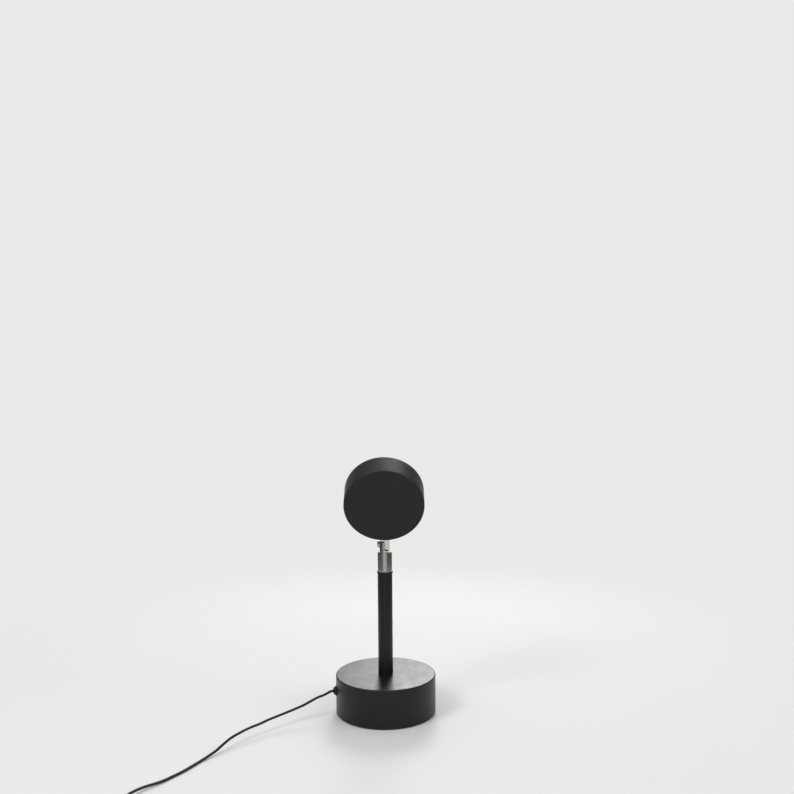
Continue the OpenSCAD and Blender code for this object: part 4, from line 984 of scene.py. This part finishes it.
def shell_sheet():
    """The middle of the folded sheet: a round-cornered outline that starts and ends at a slit
    of 0.1 mm below, carried along the shell. Its columns stand at the windows' edges."""
    wide, high = SHELL_WIDE - SHEET_T, SHELL_H - SHEET_T
    t = np.radians(np.linspace(0, 90, 6))
    flat_y = np.array([SLIT / 2, 1.65, 2.9, 4.15, wide / 2 - FOLD_R - 0.3])
    y = np.concatenate([flat_y, wide / 2 - FOLD_R + FOLD_R * np.sin(t)])
    z = np.concatenate([np.full(5, -high / 2), -high / 2 + FOLD_R - FOLD_R * np.cos(t)])
    y = np.concatenate([y, y[::-1], -y, -y[::-1]])
    z = np.concatenate([z, -z[::-1], -z, z[::-1]])
    x = np.array([42, 45, 48, WINDOW_X, 50, WINDOW_X + WINDOW_LONG, 53, 55, 55.7, 56.0])
    return np.stack(np.broadcast_arrays(x[:, None], y[None], z[None]), -1)


sheet = shell_sheet()
faces = grid_quads(*sheet.shape[:2], False, False)
centres = sheet.reshape(-1, 3)[faces].mean(1)
window = (np.abs(np.abs(centres[:, 1]) - WINDOW_Y) < WINDOW_HALF) & (
    np.abs(centres[:, 0] - WINDOW_X - WINDOW_LONG / 2) < WINDOW_LONG / 2
)
sheet_points = sheet.reshape(-1, 3) * (-MM, MM, MM) + PLUG_PLACE
no_triangles = np.zeros((0, 3), int)
plug_tip = make_piece(
    "plug_sheet", [(sheet_points, faces[~window][:, ::-1], no_triangles)], "plug_steel",
    "stand", ["plug_shell"],
)
thickness = plug_tip.modifiers.new("sheet", "SOLIDIFY")
thickness.thickness = SHEET_T * MM
thickness.offset = 0
thickness.use_even_offset = True
round_edges(plug_tip, 0.06, 40, 2)
print("windows left out:", int(window.sum()), "faces")

# %% [markdown]
# ## The wires inside
# Soft leads run through the stand, past the hinge and down to the round board, and two more are in
# the switch. They hardly show: a glimpse of red is seen in the knuckle's gap. Their routes are in
# the frame, so each mesh is copied, welded, and made round by one step of subdivision. The leads
# past the hinge are copied in place and hung on no body.


def round_copy(name, node, look):
    """A welded copy of a frame's wires, smoothed by one step of subdivision."""
    piece = welded_copy(name, node, look)
    smoother = piece.modifiers.new("rounder", "SUBSURF")
    smoother.levels = smoother.render_levels = 1
    seen = piece.evaluated_get(bpy.context.evaluated_depsgraph_get())
    piece.data = bpy.data.meshes.new_from_object(seen)
    piece.modifiers.clear()
    smooth_in(piece.data, FINISHES[look])
    return piece


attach(round_copy("lead_in_stand", "stand_lead", "cord_sheath"), "stand")
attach(round_copy("leads_in_head", "head_wires", "wire_sheath"), "head")
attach(round_copy("leads_in_switch", "switch_wires", "wire_sheath"), "stand")
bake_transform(round_copy("leads_past_hinge", "knuckle_wires", "wire_sheath"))

# %% [markdown]
# ## The pieces of the frame that keep their shape
# Screws, washers, nuts, the ballast and the circuit boards already have their true shape in
# the frame. They need only their finish. Most are hidden, but the plate, the pad and
# the screws show from below.

# %% Finishes for the rest
THREAD_PITCH, THREAD_DEPTH = 1.0, 0.25
add_ridges(FINISHES["brass_thread"], THREAD_PITCH, THREAD_DEPTH, sharp=True)
kept = [name for name, node in frame["nodes"].items() if not node.hide_render]
for name in kept:
    for place in frame["nodes"][name].material_slots:
        place.link = "OBJECT"
        place.material = FINISHES[slot_of[name]]
print("kept as the frame has them:", ", ".join(sorted(kept)))

# %% The cords
print("two cords: to the switch and to the plug")

# %% [markdown]
# ## Floor, light and backdrop
# A pale floor and large round soft lamps let the black coat show its shape: the drum's edge,
# the base's round and the knuckle's flats are all read from broad, gentle reflections. The
# lamps are set so that the pale floor renders about as pale as its colour is written. The
# floor ends not far from the lamp and fades into the backdrop. Bright metal needs something
# dark to mirror, or it reads as white, so the room is darker to its left and right, as a
# studio is beyond its lamps. Only mirrored rays see that: the camera sees the pale backdrop.

# %% The floor
FLOOR_R, FLOOR_SIDES, FADE_FROM, FADE_TO = 0.75, 96, 0.34, 0.70
PALE, FLOOR_ROUGH, FLOOR_SHINE = (0.82, 0.82, 0.82), 0.75, 0.2
rim = spun(FLOOR_R, 0, np.linspace(0, 2 * np.pi, FLOOR_SIDES + 1)[:-1])
floor_mesh = bpy.data.meshes.new("floor")
floor_mesh.from_pydata(rim.tolist(), [], [list(range(FLOOR_SIDES))])
in_scene("floor", floor_mesh)


def stage_finish():
    """A pale floor that takes shadows near the lamp and fades, with its distance from it, to
    nothing, so that the backdrop takes its place."""
    material = bpy.data.materials.new("pale_floor")
    material.use_nodes = True
    tree = material.node_tree
    shader = tree.nodes["Principled BSDF"]
    connect(tree, shader, {
        "Base Color": (*PALE, 1), "Roughness": FLOOR_ROUGH, "Specular IOR Level": FLOOR_SHINE,
    })
    away = add_node(
        tree, "VectorMath", {0: add_node(tree, "TexCoord").outputs["Object"]},
        operation="LENGTH",
    )
    fade = add_node(tree, "MapRange", {
        "Value": away.outputs["Value"], "From Min": FADE_FROM, "From Max": FADE_TO,
    }, interpolation_type="SMOOTHSTEP")
    mix = add_node(tree, "MixShader", {
        "Fac": fade.outputs["Result"], 1: shader.outputs["BSDF"],
        2: add_node(tree, "BsdfTransparent").outputs["BSDF"],
    })
    connect(tree, tree.nodes["Material Output"], {"Surface": mix.outputs["Shader"]})
    return material


floor_mesh.materials.append(stage_finish())
print("floor radius:", FLOOR_R, "m")

# %% The lamps
MIDDLE, EDGE = 0.2, 0.5


def softbox(name, place, aim, size, watts):
    """A round lamp at a place, pointing at a point. Like the cloth of a real softbox it is
    brightest in its middle, so glass and metal mirror it without a hard rim: its strength is
    1 out to MIDDLE times its size, and falls smoothly to 0 at its edge."""
    lamp = in_scene(name, bpy.data.lights.new(name, "AREA"))
    lamp.data.shape = "DISK"
    lamp.data.size = size
    lamp.data.energy = watts
    lamp.location = place
    lamp.rotation_euler = Vector(np.subtract(aim, place)).to_track_quat("-Z", "Y").to_euler()
    lamp.visible_camera = False
    lamp.data.use_nodes = True
    tree = lamp.data.node_tree
    apart = add_node(
        tree, "VectorMath", {0: add_node(tree, "NewGeometry").outputs["Position"], 1: place},
        operation="DISTANCE",
    )
    fall = add_node(tree, "MapRange", {
        "Value": apart.outputs["Value"], "From Min": MIDDLE * size, "From Max": EDGE * size,
        "To Min": 1, "To Max": 0,
    }, interpolation_type="SMOOTHSTEP")
    connect(tree, tree.nodes["Emission"], {"Strength": fall.outputs["Result"]})


softbox("key", (-0.9, -0.9, 1.3), (0, 0, 0.1), 0.9, 19.5)
softbox("fill", (1.3, -0.5, 0.9), (0, 0, 0.15), 1.2, 9)
softbox("back", (0.15, 1.6, 1.0), (0, 0, 0.05), 0.95, 30)
print("three lamps")

# %% The room
ROOM_LIGHT, ROOM_FRONT, ROOM_SIDES = 0.5, 0.6, 0.08
SIDE_FROM, SIDE_TO = 0.25, 0.7
world = bpy.data.worlds.new("studio")
bpy.context.scene.world = world
world.use_nodes = True
tree = world.node_tree
light = tree.nodes["Background"]
connect(tree, light, {"Color": (1, 1, 1, 1), "Strength": ROOM_LIGHT})
backdrop = add_node(tree, "Background", {"Color": (*PALE, 1)})
way = add_node(tree, "TexCoord").outputs["Generated"]
parts = add_node(tree, "SeparateXYZ", {"Vector": way})
sideways = add_node(tree, "Math", {0: parts.outputs["X"]}, operation="ABSOLUTE")
dim = add_node(tree, "MapRange", {
    "Value": sideways.outputs["Value"], "From Min": SIDE_FROM, "From Max": SIDE_TO,
    "To Min": ROOM_FRONT, "To Max": ROOM_SIDES,
}, interpolation_type="SMOOTHSTEP")
mirrored = add_node(tree, "Background", {"Strength": dim.outputs["Result"]})
ray = add_node(tree, "LightPath").outputs
straight = add_node(
    tree, "Math", {0: ray["Is Camera Ray"], 1: ray["Is Transmission Ray"]}, operation="MAXIMUM"
)
to_mirror = add_node(tree, "MixShader", {
    "Fac": ray["Is Glossy Ray"], 1: light.outputs["Background"],
    2: mirrored.outputs["Background"],
})
to_backdrop = add_node(tree, "MixShader", {
    "Fac": straight.outputs["Value"], 1: to_mirror.outputs["Shader"],
    2: backdrop.outputs["Background"],
})
connect(tree, tree.nodes["World Output"], {"Surface": to_backdrop.outputs["Shader"]})
bpy.context.scene.view_settings.view_transform = "Standard"
print("the room's sides are mirrored at", ROOM_SIDES)
